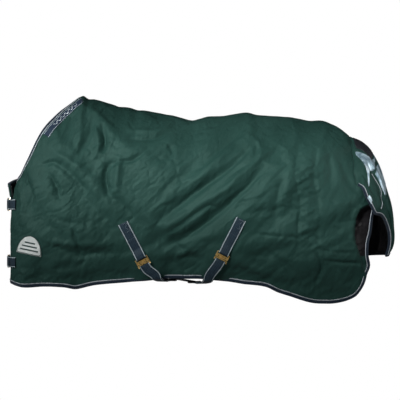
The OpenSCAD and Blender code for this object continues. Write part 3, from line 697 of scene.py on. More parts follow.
def brass_mat():
    m = Material("pressed_brass", (0.80, 0.55, 0.20), 0.3, metallic=0.8)
    wear = m.noise(120.0, 5.0)
    m.feed(Base_Color=m.ramp(wear, (0.3, (0.62, 0.38, 0.11)), (0.6, (0.95, 0.66, 0.24))))
    m.feed(Roughness=wear * 0.3 + 0.16)
    m.feed(Normal=m.bump(m.noise(400.0, 2.0), 0.1, 0.0002))
    return m.made


def foil_mat():
    m = Material("reflective_print", (0.30, 0.38, 0.43), 0.34, metallic=0.4)
    creases = m.noise(16.0, 5.0, 0.65, m.mapped("POINT", (0.0, 0.0, 0.0), (0.0, 0.5, 0.3), (1.0, 2.4, 0.6)))
    stops = (0.36, (0.09, 0.16, 0.20)), (0.5, (0.34, 0.46, 0.53)), (0.62, (0.62, 0.74, 0.80))
    m.feed(Base_Color=m.ramp(creases, *stops), Roughness=m.noise(60.0) * 0.3 + 0.22)
    m.feed(Normal=m.bump(creases, 0.35, 0.01, m.bump(m.weave(0.0022), 0.3, 0.0003)))
    return m.made


def badge_mat():
    """Plain silver-grey patch, with no lettering."""
    m = Material("badge_patch", (0.42, 0.46, 0.47), 0.48)
    m.feed(Base_Color=m.ramp(m.noise(40.0, 4.0), (0.3, (0.46, 0.50, 0.49)), (0.7, (0.62, 0.66, 0.64))))
    m.feed(Normal=m.bump(m.noise(300.0, 2.0), 0.3, 0.0004))
    return m.made


def label_mat():
    """Woven band: navy with two pale edge lines and a plain wave between them. u runs along, v across."""
    m = Material("neck_band_weave", (0.01, 0.02, 0.035), 0.6, 0.05, spec=0.2)
    u, v = m.uv()
    off = v - BAND_W / 2 * MM
    base = m.ramp(m.noise(90.0), (0.3, (0.008, 0.018, 0.036)), (0.7, (0.016, 0.032, 0.058)))
    drawn = abs(off - u.wave(0.026) * 0.0055) < 0.0017
    waved = m.mix(drawn * (abs(u - 0.125) < 0.078), base, (0.55, 0.62, 0.66))
    m.feed(Base_Color=m.mix(abs(abs(off) - (BAND_W / 2 - 2.2) * MM) < 0.0009, waved, (0.42, 0.50, 0.55)))
    m.feed(Normal=m.bump(m.weave(0.0016), 0.4, 0.0003))
    return m.made


# A near-black ribbed band with paler ribs, laid across the top of the tail flap.
def ribbed_mat():
    m = Material("dark_ribbed_band", (0.006, 0.008, 0.012), 0.5)
    rib = m.uv()[1].wave(0.006)
    m.feed(Base_Color=m.mix((rib + 1.0) * 0.5, (0.003, 0.004, 0.006), (0.011, 0.014, 0.019)))
    m.feed(Normal=m.bump(rib + m.noise(200.0, 2.0) * 0.6, 0.6, 0.001))
    return m.made


def slider_mat():
    m = Material("slider_plastic", (0.012, 0.013, 0.016), 0.45)
    m.feed(Normal=m.bump(m.noise(500.0, 2.0), 0.25, 0.0003))
    return m.made


BAND_W = 33.0
SHELL = cloth_mat(
    "shell_weave", (0.0105, 0.033, 0.0275), (0.0175, 0.049, 0.0415), 0.55, 0.0022, 0.25, 0.0, 0.15, 0.22,
)
SHELL.node_tree.nodes["Principled BSDF"].inputs["Specular Tint"].default_value = (0.6, 1.0, 0.88, 1)
# Near-black painted shade for the faces inside the rear hollow of the near panel.
HOLLOW_SHADE = cloth_mat("rear_hollow_painted_shade", (0.004, 0.004, 0.005), (0.009, 0.008, 0.009), 0.5, 0.0018, 0.2, 0.0, 0.15)
LINING = cloth_mat("lining_nylon", (0.004, 0.005, 0.007), (0.008, 0.009, 0.012), 0.42, 0.0016, 0.10, 0.05)
BINDING = cloth_mat("binding_tape", (0.004, 0.011, 0.022), (0.008, 0.020, 0.036), 0.62, 0.0018, 0.4, 0.1, 0.2)
PIPING = cloth_mat("piping_cord", (0.30, 0.34, 0.38), (0.42, 0.46, 0.50), 0.5, 0.0014, 0.4, 0.1)
BADGE_DARK = cloth_mat("badge_thread", (0.020, 0.045, 0.042), (0.035, 0.065, 0.060), 0.6, 0.0012, 0.4, 0.05)
THREAD_NAVY = cloth_mat("navy_thread", (0.014, 0.028, 0.045), (0.030, 0.050, 0.075), 0.55, 0.001, 0.2, 0.1)
THREAD = cloth_mat("stitch_thread", (0.20, 0.25, 0.27), (0.34, 0.40, 0.42), 0.55, 0.001, 0.2, 0.2)
WEBBING, BRASS, FOIL, BADGE = webbing_mat(), brass_mat(), foil_mat(), badge_mat()
LABEL, RIBBED, SLIDER = label_mat(), ribbed_mat(), slider_mat()

# ---- body cloth
near_plain, near_n, near_out = body_grid(NEAR_FOLDS, 11, False, 0.030, 0.9, 0.05)
far_plain, far_n, far_out = body_grid(FAR_FOLDS, 57, True, 0.035, 2.0, 0.04)


QUILT_BOX, QUILT_DEEP, QUILT_SOFT = 150, 4.5, 14


def quilt(p):
    """Lining channels: a box pattern of shallow stitched lines, in mm."""
    u, v = (np.abs(((p[..., k] / QUILT_BOX) % 1) - 0.5) * QUILT_BOX for k in (0, 2))
    u, v = (1 - np.exp(-((QUILT_BOX / 2 - q) / QUILT_SOFT) ** 2) for q in (u, v))
    return QUILT_DEEP * u * v


def make_side(tag, plain, n, out, far):
    """The padded panel of a side and the lining inside it."""
    moved = ((out - plain) * n).sum(-1)
    thick = np.clip(PAD_T - 1.5 + 0.25 * (moved - blurred(moved, 10)), 7, 14)
    inner = out - n * thick[..., None]
    panel = slab(f"{tag}_padded_panel", out, inner, (SHELL,), far)
    lin_a = inner - n * 0.5
    lin_b = lin_a - n * (1.0 + quilt(plain))[..., None]
    lining = slab(f"{tag}_quilted_lining", lin_a[::2, ::2], lin_b[::2, ::2], (LINING,), far)
    return panel, lining


near_panel, near_lining = make_side("near", near_plain, near_n, near_out, False)
far_panel, far_lining = make_side("far", far_plain, far_n, far_out, True)
# Painted shade: near-black faces inside the rear hollow, where the cloth turns away from the light.
mid = (near_plain[:-1, :-1] + near_plain[1:, 1:]) / 2
shaded_faces = ((in_arch(mid[..., 0], mid[..., 2]) > 9) & (mid[..., 2] > HOLLOW_SHADE_END)).ravel()
near_panel.data.materials.append(HOLLOW_SHADE)
for k in np.flatnonzero(shaded_faces):
    near_panel.data.polygons[int(k)].material_index = 1
on_rug(near_panel, "outer_fabric", "near_outer_shell", "near_fibre_fill")
on_rug(far_panel, "outer_fabric", "far_outer_shell", "far_fibre_fill")
on_rug(near_lining, "lining_fabric", "near_lining")
on_rug(far_lining, "lining_fabric", "far_lining")

near_tree = BVHTree.FromObject(near_panel, bpy.context.evaluated_depsgraph_get())
far_tree = BVHTree.FromObject(far_panel, bpy.context.evaluated_depsgraph_get())


def on_cloth(x, z, far=False):
    """The outer surface at a place in the side view: point and normal, in mm, near-side sense."""
    s = -1 if far else 1
    tree = far_tree if far else near_tree
    hit, normal, _, _ = tree.ray_cast(Vector((x * MM, -0.6 * s, (z + LIFT) * MM)), Vector((0, s, 0)))
    if hit is None:
        hit, normal, _, _ = tree.find_nearest(Vector((x * MM, -0.3 * s, (z + LIFT) * MM)))
    p = np.array(hit) / MM - [0, 0, LIFT]
    n = np.array(normal)
    if n[1] * s > 0:
        n = -n
    return p * [1, s, 1], n * [1, s, 1]


def soften(a, rounds):
    """Evens out a line, its ends held."""
    a = np.array(a)
    for _ in range(rounds):
        a[1:-1] = (a[:-2] + 2 * a[1:-1] + a[2:]) / 4
    return a


def lay(points, count, blur):
    """A path on the cloth through (x, z) places, with its normals evened out."""
    line = curve_through(points, count)
    p, n = zip(*(on_cloth(x, z) for x, z in line))
    return soften(p, blur), unit(soften(n, blur))


# ---- bindings and piping
def edge_of(out, n):
    """Hem from chest to rear corner, then up the rear edge; and the neck edge from the withers down."""
    hem = np.concatenate([out[:, -1], out[-1, ::-1][1:]])
    hem_n = np.concatenate([n[:, -1], n[-1, ::-1][1:]])
    last = int(np.argmin(np.abs(out[:, 0, 0] + 540)))
    return hem, hem_n, out[last::-1, 0], n[last::-1, 0]


BIND_IN, BIND_OUT, BIND_H = -12.0, 4.5, 1.4
wrap = [
    (BIND_IN, 0.2), (BIND_IN, BIND_H), (BIND_IN / 2, BIND_H + 0.3), (0, BIND_H), (BIND_OUT - 1, 0.2),
    (BIND_OUT, -3.5), (BIND_OUT, -9.5), (BIND_OUT - 1, -13.2), (0, -14.6), (BIND_IN, -14.6),
    (BIND_IN, -13.0),
]
edges = []
for tag, out, n, far in (("near", near_out, near_n, False), ("far", far_out, far_n, True)):
    hem, hem_n, neck, neck_n = edge_of(out, n)
    for part, path, up in (("hem", hem, hem_n), ("neck", neck, neck_n)):
        path, up = soften(path, 4), unit(soften(up, 12))
        edges.append((tag, part, path, up, far))
        b = sweep(f"{tag}_{part}_bound_edge", path, up, wrap, BINDING, far)
        c = sweep(f"{tag}_{part}_piping_cord", path, up, tube(1.9, -13.2, 1.5), PIPING, far)
        on_rug(b, "binding_tape", f"{tag}_{part}_binding")
        on_rug(c, "piping_cord", f"{tag}_{part}_piping")


# ---- fasteners' own axes
# The tilt of a belly fastener in degrees, the heights of its two bars, and the hook bar's place.
BELLY_TIP, PLATE_LIFT, HOOK_LIFT, HOOK_BAR_Y = 6, 7.2, 10.6, -37
CHEST_BAR_Y = 22
WEB_W, STRAP_T = 50.0, 2.2


def drop_at(x, z):
    top, low = along(CREST_CAD, x), along(HEM_CAD, x)
    return np.clip((top - z) / (top - low), 0, 1)


def side_point(x, z):
    return np.array([x, -(SPINE_GAP + half_w(np.array(float(x))) * drape(drop_at(x, z))), z], float)


CREST_CAD = [
    (-870, -290), (-813, -142), (-776, -33), (-705, 48), (-634, 72), (-574, 93), (-521, 119),
    (-480, 102), (-370, 72), (-230, 48), (-115, 24), (0, 0), (90, 18), (255, 37), (330, 27),
    (440, 18), (566, -2), (651, -12), (710, -44), (770, -90), (822, -134), (850, -170), (890, -244),
]
HEM_CAD = [
    (-870, -765), (-715, -778), (-530, -784), (-293, -752), (-158, -727), (-21, -722), (66, -726),
    (235, -763), (340, -778), (446, -818), (551, -850), (622, -856), (700, -852), (765, -832),
    (800, -790), (890, -780),
]


def flank_point(h, x, y, n):
    """A point of a flank fastener's own axes: x across the strap, -y along it, n off the cloth."""
    c, s = math.cos(math.radians(h[2])), math.sin(math.radians(h[2]))
    ca, sa = math.cos(math.radians(90 + BELLY_TIP)), math.sin(math.radians(90 + BELLY_TIP))
    u, v = x * c - y * s, x * s + y * c
    return side_point(h[0], h[1]) + [u, v * ca - n * sa, v * sa + n * ca]


def chest_point(z, x, y, n):
    front = CHEST_X - 1 + (1 - float(drape(drop_at(-700, z)))) * 8
    return np.array([front - n, CHEST_BAR_Y + y, z + x])


def ring_turn(place, y0, n0, r, a0, a1, count):
    """Points round a bar at (y0, n0) from angle a0 to a1; 0 points along +y, 90 off the cloth."""
    out = []
    for k in range(count + 1):
        a = math.radians(a0 + (a1 - a0) * k / count)
        out.append(place(0, y0 + r * math.cos(a), n0 + r * math.sin(a)))
    return out


def even(path, step):
    """Points at an even spacing along a smoothed line."""
    p = curve_through(path, max(60, len(path) * 12))
    d = travel(p)
    at = np.linspace(0, d[-1], max(4, int(d[-1] / step)))
    return np.stack([np.interp(at, d, p[:, c]) for c in range(3)], 1)


def webbing(name, path, sides, node_name):
    """A strap along path (its middle) whose width runs along sides."""
    path, sides = np.asarray(path, float), np.asarray(sides, float)
    d = unit(np.gradient(path, axis=0))
    sides = unit(sides - d * (sides * d).sum(1, keepdims=True))
    profile = round_box(WEB_W, STRAP_T, 0.9, 3, -STRAP_T / 2)
    on_rug(sweep(name, path, np.cross(sides, d), profile, WEBBING), "webbing", node_name)


def stitches(name, rows, lift, length, gap, r, mat, far=False):
    """Dashes of thread, thickest in their middle, along rows of (points, ups) in mm."""
    verts, faces = [], []
    for pts, ups in rows:
        pts, ups = np.asarray(pts, float), np.asarray(ups, float)
        d = travel(pts)
        at = lambda q, line: np.array([np.interp(q, d, line[:, c]) for c in range(3)])
        for a in np.arange(gap, d[-1] - length, length + gap):
            p0, p1, u0 = at(a, pts), at(a + length, pts), unit(at(a, ups))
            side = np.cross(unit(p1 - p0), u0)
            base = len(verts)
            for q, k in ((p0, 0.5), ((p0 + p1) / 2, 1.0), (p1, 0.5)):
                mid = q + u0 * (lift + (k - 0.5) * r)
                for c in range(THREAD_SIDES):
                    ang = TURN * c / THREAD_SIDES
                    verts.append(mid + r * k * (math.cos(ang) * side + math.sin(ang) * u0))
            for k in range(2 * THREAD_SIDES):
                first = base + k - k % THREAD_SIDES
                b = first + (k + 1) % THREAD_SIDES
                faces.append((base + k, b, b + THREAD_SIDES, base + k + THREAD_SIDES))
            faces.append(range(base + THREAD_SIDES - 1, base - 1, -1))
            faces.append(range(base + 2 * THREAD_SIDES, base + 3 * THREAD_SIDES))
    return add_mesh(name, to_world(np.array(verts), far), faces, (mat,))


def offset_row(path, up, across):
    """A line beside a path, across mm to its profile side."""
    return path + unit(np.cross(np.gradient(path, axis=0), up)) * across, up


EDGE_STITCH = (5.0, 3.0, 0.4, THREAD_NAVY)
for tag, part, path, up, far in edges:
    row = offset_row(path, up, BIND_IN + 2.6)
    on_rug(stitches(f"{tag}_{part}_edge_stitching", [row], BIND_H + 0.1, *EDGE_STITCH, far), "webbing")

# ---- straps on the near flank
FRONT_HOOK, REAR_HOOK = (-232, -645, 27.4), (146, -623, -27)
FRONT_SEWN, REAR_SEWN = (-315, -485), (226, -466)
PLATE_RING, HOOK_RING = 4.0, 3.6


def anchor(tag, h, sewn):
    """The strap sewn to the flank, round the bar of its catch plate and back on itself."""
    place = lambda x, y, n: flank_point(h, x, y, n)
    bar = place(1, 0, 0) - place(0, 0, 0)
    end = place(0, 12, 0)
    line = [(sewn[0] + (end[0] - sewn[0]) * u, sewn[1] + (end[2] - sewn[1]) * u) for u in (0, 0.5, 1)]
    p, n = lay(line, 24, 6)
    under = p[:-3] + n[:-3] * 1.9
    loop = [place(0, 6, PLATE_LIFT - PLATE_RING + 0.2)]
    loop += ring_turn(place, 0, PLATE_LIFT, PLATE_RING, 270, 90, 8)
    back = [place(0, 9, PLATE_LIFT + PLATE_RING - 1.6), place(0, 20, 7.6)]
    top = [q + m * 4.7 for q, m in zip(p[-5:-14:-2], n[-5:-14:-2])]
    path = even(list(under) + loop + back + top, 3.0)
    webbing(f"{tag}_anchor_webbing", path, np.repeat(bar[None], len(path), 0), f"{tag}_anchor_strap")
    # Box and cross of thread over the sewn end.
    d0 = unit(p[8] - p[0])
    side = unit(np.cross(d0, n[4]))
    c0, c1 = p[0] + d0 * 5, p[0] + d0 * 45
    a, b = side * (WEB_W / 2 - 7), -side * (WEB_W / 2 - 7)
    corners = (c0 + a, c0 + b, c1 + b, c1 + a)
    ends = [(corners[k], corners[e]) for k, e in ((0, 1), (1, 2), (2, 3), (3, 0), (0, 2), (1, 3))]
    rows = [(np.linspace(q0, q1, 6), np.repeat(n[4][None], 6, 0)) for q0, q1 in ends]
    on_rug(stitches(f"{tag}_anchor_webbing_stitching", rows, 3.2, 4.2, 2.6, 0.45, THREAD), "webbing")


anchor("front", FRONT_HOOK, FRONT_SEWN)
anchor("rear", REAR_HOOK, REAR_SEWN)

# The two belly webbings cross under BELLY_MID_X. Each runs straight between the turns at -BELLY_TURN_Y and
# BELLY_TURN_Y, and comes up outside the hem beyond them.
BELLY_MID_X, BELLY_HALF_X, BELLY_TURN_Y = -45, 92, 232
HEM_STEP, HEM_LIFT, HEM_GAP = 62, 8, 9.5
RISE_Y, RISE_LIFT, LAYER_GAP = 268.0, 10, 2.5


def belly_strap(name, h, z, sewn, s, node_name):
    """The webbing from the near hook, under the belly, to the far seam. s is 1 where it runs rearward."""
    place = lambda x, y, n: flank_point(h, x, y, n)
    bar = place(1, 0, 0) - place(0, 0, 0)
    hem_x = h[0] + s * HEM_STEP
    far_x = 2 * BELLY_MID_X - hem_x
    near_z, far_z = (float(along(HEM_CAD, x)) + HEM_LIFT for x in (hem_x, far_x))
    near_hem = side_point(hem_x, near_z) + [0, -HEM_GAP, 0]
    far_hem = side_point(far_x, far_z) * [1, -1, 1] + [0, HEM_GAP, 0]
    run = np.array([s * BELLY_HALF_X, BELLY_TURN_Y, 0.0])
    run_side = np.cross(run / np.linalg.norm(run), [0, 0, 1.0])

    def under(share):
        """A place on the straight run: -1 at its near end, 1 at its far end."""
        return np.array([BELLY_MID_X + s * BELLY_HALF_X * share, BELLY_TURN_Y * share, z])

    # Keys: point and width direction. The one at -0.92 keeps the webbing flat as far as its slider travels.
    keys = [
        (place(0, HOOK_BAR_Y - 4, HOOK_LIFT - HOOK_RING + 0.2), bar),
        (place(0, HOOK_BAR_Y - 18, HOOK_LIFT - HOOK_RING + 0.6), bar),
        (near_hem, bar * 0.6 + run_side * 0.4),
        (np.array([hem_x + s * 14, -RISE_Y, z + RISE_LIFT]), run_side),
        *((under(share), run_side) for share in (-1, -0.92, -0.5, 0, 0.5, 1)),
        (np.array([far_x - s * 14, RISE_Y, z + RISE_LIFT]), run_side),
        (far_hem, run_side),
    ]
    for frac, lift in ((0.42, 6.5), (0.7, 5.5), (0.85, 4.6), (1.0, 3.6)):
        q, n = on_cloth(far_x + (sewn[0] - far_x) * frac, far_z + (sewn[1] - far_z) * frac, True)
        keys.append((q * [1, -1, 1] + n * [1, -1, 1] * lift, run_side))
    pts = [k[0] for k in keys]
    main = even(pts, 4.0)
    ks = [int(np.argmin(np.linalg.norm(main - q, axis=1))) for q in pts]
    side = np.stack([np.interp(np.arange(len(main)), ks, [k[1][c] for k in keys]) for c in range(3)], 1)
    # The turned-back layer lies outside the first, from the hook down to the slider.
    dd = unit(np.gradient(main, axis=0))
    sd = unit(side - dd * (side * dd).sum(1, keepdims=True))
    out = np.cross(sd, dd)
    if (out[2] @ (place(0, 0, 1) - place(0, 0, 0))) < 0:
        out = -out
    stop = int(np.argmin(np.linalg.norm(main - under(-0.62), axis=1)))
    doubled = (main[2:stop] + out[2:stop] * LAYER_GAP)[::-1]
    turn = ring_turn(place, HOOK_BAR_Y, HOOK_LIFT, HOOK_RING, 90, -90, 10)
    path = np.concatenate([doubled[:-3], np.array(turn), main[1:]])
    sides = np.concatenate([sd[2:stop][::-1][:-3], np.repeat(bar[None], len(turn), 0), sd[1:]])
    webbing(name, path, sides, node_name)


# The front webbing passes over the rear one where they cross.
FRONT_BELLY_Z, REAR_BELLY_Z = -752, -762
belly_strap("front_belly_strap", FRONT_HOOK, FRONT_BELLY_Z, REAR_SEWN, 1, "front_belly_webbing")
belly_strap("rear_belly_strap", REAR_HOOK, REAR_BELLY_Z, FRONT_SEWN, -1, "rear_belly_webbing")

SLIDER_Y, SLIDER_LEN, SLIDER_SPAN, SLIDER_SIDE = -145, 26, 52, 4
SLIDER_TOP, SLIDER_MID, SLIDER_LOW, SLIDER_BAR = 3.7, 1.8, -4.4, 1.6
# Corner numbers of a box whose corners are numbered 4 across + 2 along + up.
BOX_FACES = ((0, 1, 3, 2), (4, 6, 7, 5), (0, 4, 5, 1), (2, 3, 7, 6), (0, 2, 6, 4), (1, 5, 7, 3))


def strap_slider(body, s, z):
    """A ring with room for both layers of the webbing: side bars, two low cross bars, a high middle one."""
    run = np.array([s * BELLY_HALF_X, BELLY_TURN_Y, 0.0]) / math.hypot(BELLY_HALF_X, BELLY_TURN_Y)
    across, up = np.cross(run, [0, 0, 1.0]), np.array([0, 0, 1.0])
    centre = np.array([BELLY_MID_X + s * SLIDER_Y * BELLY_HALF_X / BELLY_TURN_Y, SLIDER_Y, z])
    outer, half = SLIDER_SPAN / 2 + SLIDER_SIDE, SLIDER_LEN / 2
    low = (SLIDER_LOW - SLIDER_BAR, SLIDER_LOW)
    bars = [((e * outer, e * (outer - SLIDER_SIDE)), (-half, half), (low[0], SLIDER_TOP)) for e in (-1, 1)]
    bars += [((-outer + 1, outer - 1), (e * half, e * (half - 4)), low) for e in (-1, 1)]
    bars += [((-outer + 1, outer - 1), (-2.5, 2.5), (SLIDER_MID, SLIDER_TOP))]
    verts, faces = [], []
    for box in bars:
        xs, ys, zs = (sorted(q) for q in box)
        faces += [tuple(len(verts) + q for q in f) for f in BOX_FACES]
        verts += [centre + across * x + run * y + up * h for x in xs for y in ys for h in zs]
    o = add_mesh(f"{body}_ring", to_world(verts), faces, (SLIDER,))
    bevel = o.modifiers.new("bevel", "BEVEL")
    bevel.width, bevel.segments, bevel.harden_normals = 0.0007, 3, True
    on_body(o, body, "slider_plastic", body)


strap_slider("front_strap_slider", 1, FRONT_BELLY_Z)
strap_slider("rear_strap_slider", -1, REAR_BELLY_Z)

# ---- chest closures
NOSE_L, NOSE_W, SEWN_ARC = NOSE_X - CHEST_X, 257, 31


def chest_side(z, s, y_end, n_end):
    """The middle line of a chest webbing from its sewn end to y_end, where it stands n_end off the rug."""
    a_end = math.degrees(math.asin(abs(y_end) / NOSE_W))
    pts = []
    for k in range(9):
        u = k / 8
        a = math.radians(SEWN_ARC + (a_end - SEWN_ARC) * u)
        off = 4.2 + (n_end + NOSE_L * (1 - math.cos(math.radians(a_end))) * 0.9 - 4.2) * u * u
        pts.append(np.array([NOSE_X - (NOSE_L + off) * math.cos(a), -s * (NOSE_W + off) * math.sin(a), z]))
    return pts


for tag, z in (("upper", -400), ("lower", -672)):
    place = lambda x, y, n, z=z: chest_point(z, x, y, n)
    # The near strap holds the hook, the far tab holds the catch plate.
    for part, s, bar_y, bar_n, r, n_end, swing in (
        ("strap", 1, HOOK_BAR_Y, HOOK_LIFT, HOOK_RING, HOOK_LIFT - HOOK_RING, (270, 450)),
        ("tab", -1, 0, PLATE_LIFT, PLATE_RING, 3.2, (270, 90)),
    ):
        run = chest_side(z, s, CHEST_BAR_Y + bar_y, n_end)
        back = [q + [-3.4, -0.6 * s, 0] for q in run[-2:-6:-1]]
        path = even(run[:-1] + ring_turn(place, bar_y, bar_n, r, *swing, 8) + back, 3.0)
        name = f"{tag}_chest_webbing" if part == "strap" else f"{tag}_chest_tab_webbing"
        webbing(name, path, np.repeat([[0, 0, 1.0]], len(path), 0), f"{tag}_chest_{part}")


# ---- underlap and spine tape
def chest_at(a, z):
    """The rug's own rounded front, at an angle a from its middle and a height z."""
    x = NOSE_X - NOSE_L * np.cos(a)
    return np.stack([x, -along(WIDE, x) * drape(drop_at(x, z)) * np.sin(a), z + 0 * x], -1)


ga, gz = np.meshgrid(np.radians(np.linspace(-15, 15, 25)), np.linspace(-324, -746, 61), indexing="ij")
p = chest_at(ga, gz)
around = chest_at(ga + 0.01, gz) - chest_at(ga - 0.01, gz)
n = unit(np.cross(around, chest_at(ga, gz + 3) - chest_at(ga, gz - 3)))
underlap = p - n * (17.5 - 1.2 * streaks(p[..., 1], gz, 80, 30, 120, 91))[..., None]
o = slab("chest_underlap_panel", (underlap - n * 1.8)[::-1], underlap[::-1], (LINING, SHELL))
on_rug(o, "outer_fabric", "chest_underlap")

xs = np.linspace(-505, 752, 200)
path = np.stack([xs, 0 * xs, along(CREST, xs) + 0.9 + 0.3 * np.sin(xs / 9.0)], 1)
up = np.cross(np.gradient(path, axis=0), [0, -1.0, 0])
up *= np.sign(up[:, 2:3])
tape = sweep("spine_cover_tape", path, up, round_box(28, 1.4, 0.6, 2, 0), SHELL)
on_rug(tape, "outer_fabric", "spine_seam_tape")


# ---- neck label band and badge
def patch_on(name, outline_point, cols, rows, t, lift, mat, slot, nodes, blur=2, across=None):
    """A thin patch laid on the near cloth; outline_point(i, j) in 0..1 gives (x, z) in the side view."""
    p = np.empty((cols + 1, rows + 1, 3))
    n = np.empty_like(p)
    for i in range(cols + 1):
        for j in range(rows + 1):
            p[i, j], n[i, j] = on_cloth(*outline_point(i / cols, j / rows))
    n = unit(np.stack([blurred(n[..., c], blur) for c in range(3)], -1))
    on_rug(slab(name, p + n * (lift + t), p + n * lift, (mat,), across=across), slot, *nodes)


def neck_place(a, b):
    """Along the neck edge (0 near the withers) and in from it (mm), in the side view."""
    k0, k1 = NECK_T
    t = k0 + (k1 - k0) * a
    idx = t * COLS
    lo = int(idx)
    e = near_out[lo, 0] * (1 - idx + lo) + near_out[lo + 1, 0] * (idx - lo)
    d = near_out[lo + 1, 0] - near_out[max(lo - 1, 0), 0]
    d = d / np.linalg.norm(d)
    return e[0] + d[2] * b * 0.98, e[2] - d[0] * b * 0.98


def t_of(x_goal):
    return float(np.argmin(np.abs(near_out[:, 0, 0] - x_goal))) / COLS


NECK_T = (t_of(-530), t_of(-704))
patch_on(
    "neck_woven_band", lambda i, j: neck_place(i, 17 + BAND_W * j), 60, 8, 1.1, 0.9, LABEL, "label_band",
    ("neck_label_band",), across=BAND_W,
)

BADGE_X, BADGE_Z, BADGE_R, BADGE_H, BADGE_TILT = -760, -632, 62, 88, math.radians(-10)


def badge_point(u, w):
    """A place on the badge: u across, w up from its base, in mm."""
    c, s = math.cos(BADGE_TILT), math.sin(BADGE_TILT)
    return BADGE_X + u * c - w * s, BADGE_Z + u * s + w * c


def badge_place(i, j, grow=1.0, base=0.0):
    """i runs round the badge's arch, j from the arch down to its base; both 0 to 1."""
    a = math.radians(176 - 172 * i)
    return badge_point(BADGE_R * math.cos(a) * grow, BADGE_H * math.sin(a) * grow * (1 - j) + base)


patch_on("half_round_badge", badge_place, 36, 14, 1.3, 0.6, BADGE, "badge_patch", ("chest_badge",), 4)
# A stitched rim and three plain bars.
rim = [badge_place(k / 40, 0, 0.96, 2.5) for k in range(41)]
rim += [badge_point(BADGE_R * 0.96 * (1 - k / 10), 3.0) for k in range(1, 20)] + [rim[0]]
p, n = lay(rim, 160, 2)
on_rug(sweep("badge_rim", p + n * 1.9, n, tube(1.7), BADGE_DARK), "badge_patch")
for k, (base_w, half_u) in enumerate(((17, 45), (34, 38), (51, 26))):
    patch_on(
        f"badge_bar_{k + 1}", lambda i, j, b=base_w, h=half_u: badge_point(h * (2 * i - 1), b + 7 * (1 - j)),
        16, 3, 0.5, 1.8, BADGE_DARK, "badge_patch", (), 1,
    )

# ---- tail flap
FLAP_X = [
    (0, 762), (0.12, 811), (0.25, 854), (0.4, 898), (0.55, 928), (0.7, 953), (0.82, 964), (0.92, 963),
    (1, 943),
]
FLAP_Z = [
    (0, -68), (0.12, -96), (0.25, -138), (0.4, -220), (0.55, -319), (0.7, -408), (0.82, -506), (0.92, -581),
    (1, -642),
]
FLAP_LEAN = [(0, 0), (0.25, 15), (0.4, 26), (0.55, 34), (0.7, 55), (0.82, 73), (1, 85)]
NEAR_FOLD = [(0, 228), (0.25, 221), (0.4, 188), (0.55, 149), (0.7, 84), (0.82, 48), (0.92, 38), (1, 30)]
FAR_FOLD = [(0, 228), (0.25, 221), (0.4, 188), (0.55, 165), (0.7, 150), (0.82, 146), (0.92, 144), (1, 132)]
NEAR_REACH = [(0, 248), (0.25, 254), (0.4, 252), (0.55, 242), (0.7, 198), (0.82, 152), (0.92, 130), (1, 112)]
FAR_REACH = [(0, 248), (0.25, 254), (0.4, 252), (0.55, 242), (0.7, 204), (0.82, 184), (0.92, 174), (1, 165)]
FLAP_ARC = 68
SEAM_BLEND = 0.16


def flap_plain(a, w):
    lean = np.radians(along(FLAP_LEAN, a))
    arc = math.radians(FLAP_ARC)
    p = arc * np.abs(w)
    fold_d = np.where(w < 0, along(NEAR_FOLD, a), along(FAR_FOLD, a)) * (1 - np.cos(p)) / (1 - math.cos(arc))
    reach = np.where(w < 0, along(NEAR_REACH, a), along(FAR_REACH, a)) * np.sin(p) / math.sin(arc)
    return np.stack(
        [along(FLAP_X, a) - fold_d * np.sin(lean), np.where(w < 0, -reach, reach),
         along(FLAP_Z, a) - fold_d * np.cos(lean)], -1,
    )


def flap_seat(w):
    """Where the flap's front seam lies on the croup."""
    p = flap_plain(np.zeros_like(w), w)
    seats = []
    for q in p:
        s = -1 if q[1] < 0 else 1
        tree = near_tree if s < 0 else far_tree
        hit, normal, _, _ = tree.find_nearest(Vector(to_world(q)))
        n = np.array(normal)
        if n[1] * s < 0 and abs(n[1]) > 0.3 or (n[2] < 0 and abs(n[1]) <= 0.3):
            n = -n
        seats.append(np.array(hit) / MM - [0, 0, LIFT] + n * 3.0)
    return soften(np.array(seats), 6)


FLAP_A, FLAP_W = 150, 200
fa, fw = np.meshgrid(np.linspace(0, 1, FLAP_A + 1), np.linspace(-1, 1, FLAP_W + 1), indexing="ij")
flap_p = flap_plain(fa, fw)
flap_n = normals_of(flap_p)
if flap_n[FLAP_A // 2, FLAP_W // 2, 0] < 0:
    flap_n = -flap_n
off = np.abs(fw)
fd = 2.4 * streaks(fw * 260, fa * 640, 84, 34, 260, 71) + 1.3 * streaks(fw * 260, fa * 640, 70, 16, 120, 72)
seam = np.exp(-(((off - 0.60 - 0.10 * fa) / 0.035) ** 2))
fd += -7 * seam * smooth(0.12, 0.3, fa) * (1 - smooth(0.75, 0.95, fa))
fd += 5 * np.exp(-(((off - 0.50 - 0.08 * fa) / 0.06) ** 2)) * smooth(0.12, 0.3, fa)
fd += -6 * np.exp(-(((off - 0.84) / 0.03) ** 2)) * smooth(0.05, 0.2, fa) * (1 - smooth(0.45, 0.6, fa))
fd += 4 * np.exp(-((fw / 0.08) ** 2)) * smooth(0.2, 0.4, fa)
fd *= smooth(0.0, 0.08, 1 - off) * smooth(0.0, 0.05, 1 - fa) * smooth(0.02, 0.15, fa)
flap_out = flap_p + flap_n * fd[..., None]
seat = flap_seat(np.linspace(-1, 1, FLAP_W + 1))
k = smooth(0.0, SEAM_BLEND, fa)[..., None]
flap_out = flap_out * k + (seat[None] + flap_plain(fa, fw) - flap_plain(0 * fa, fw)) * (1 - k)
flap_n = normals_of(flap_out)
if flap_n[FLAP_A // 2, FLAP_W // 2, 0] < 0:
    flap_n = -flap_n


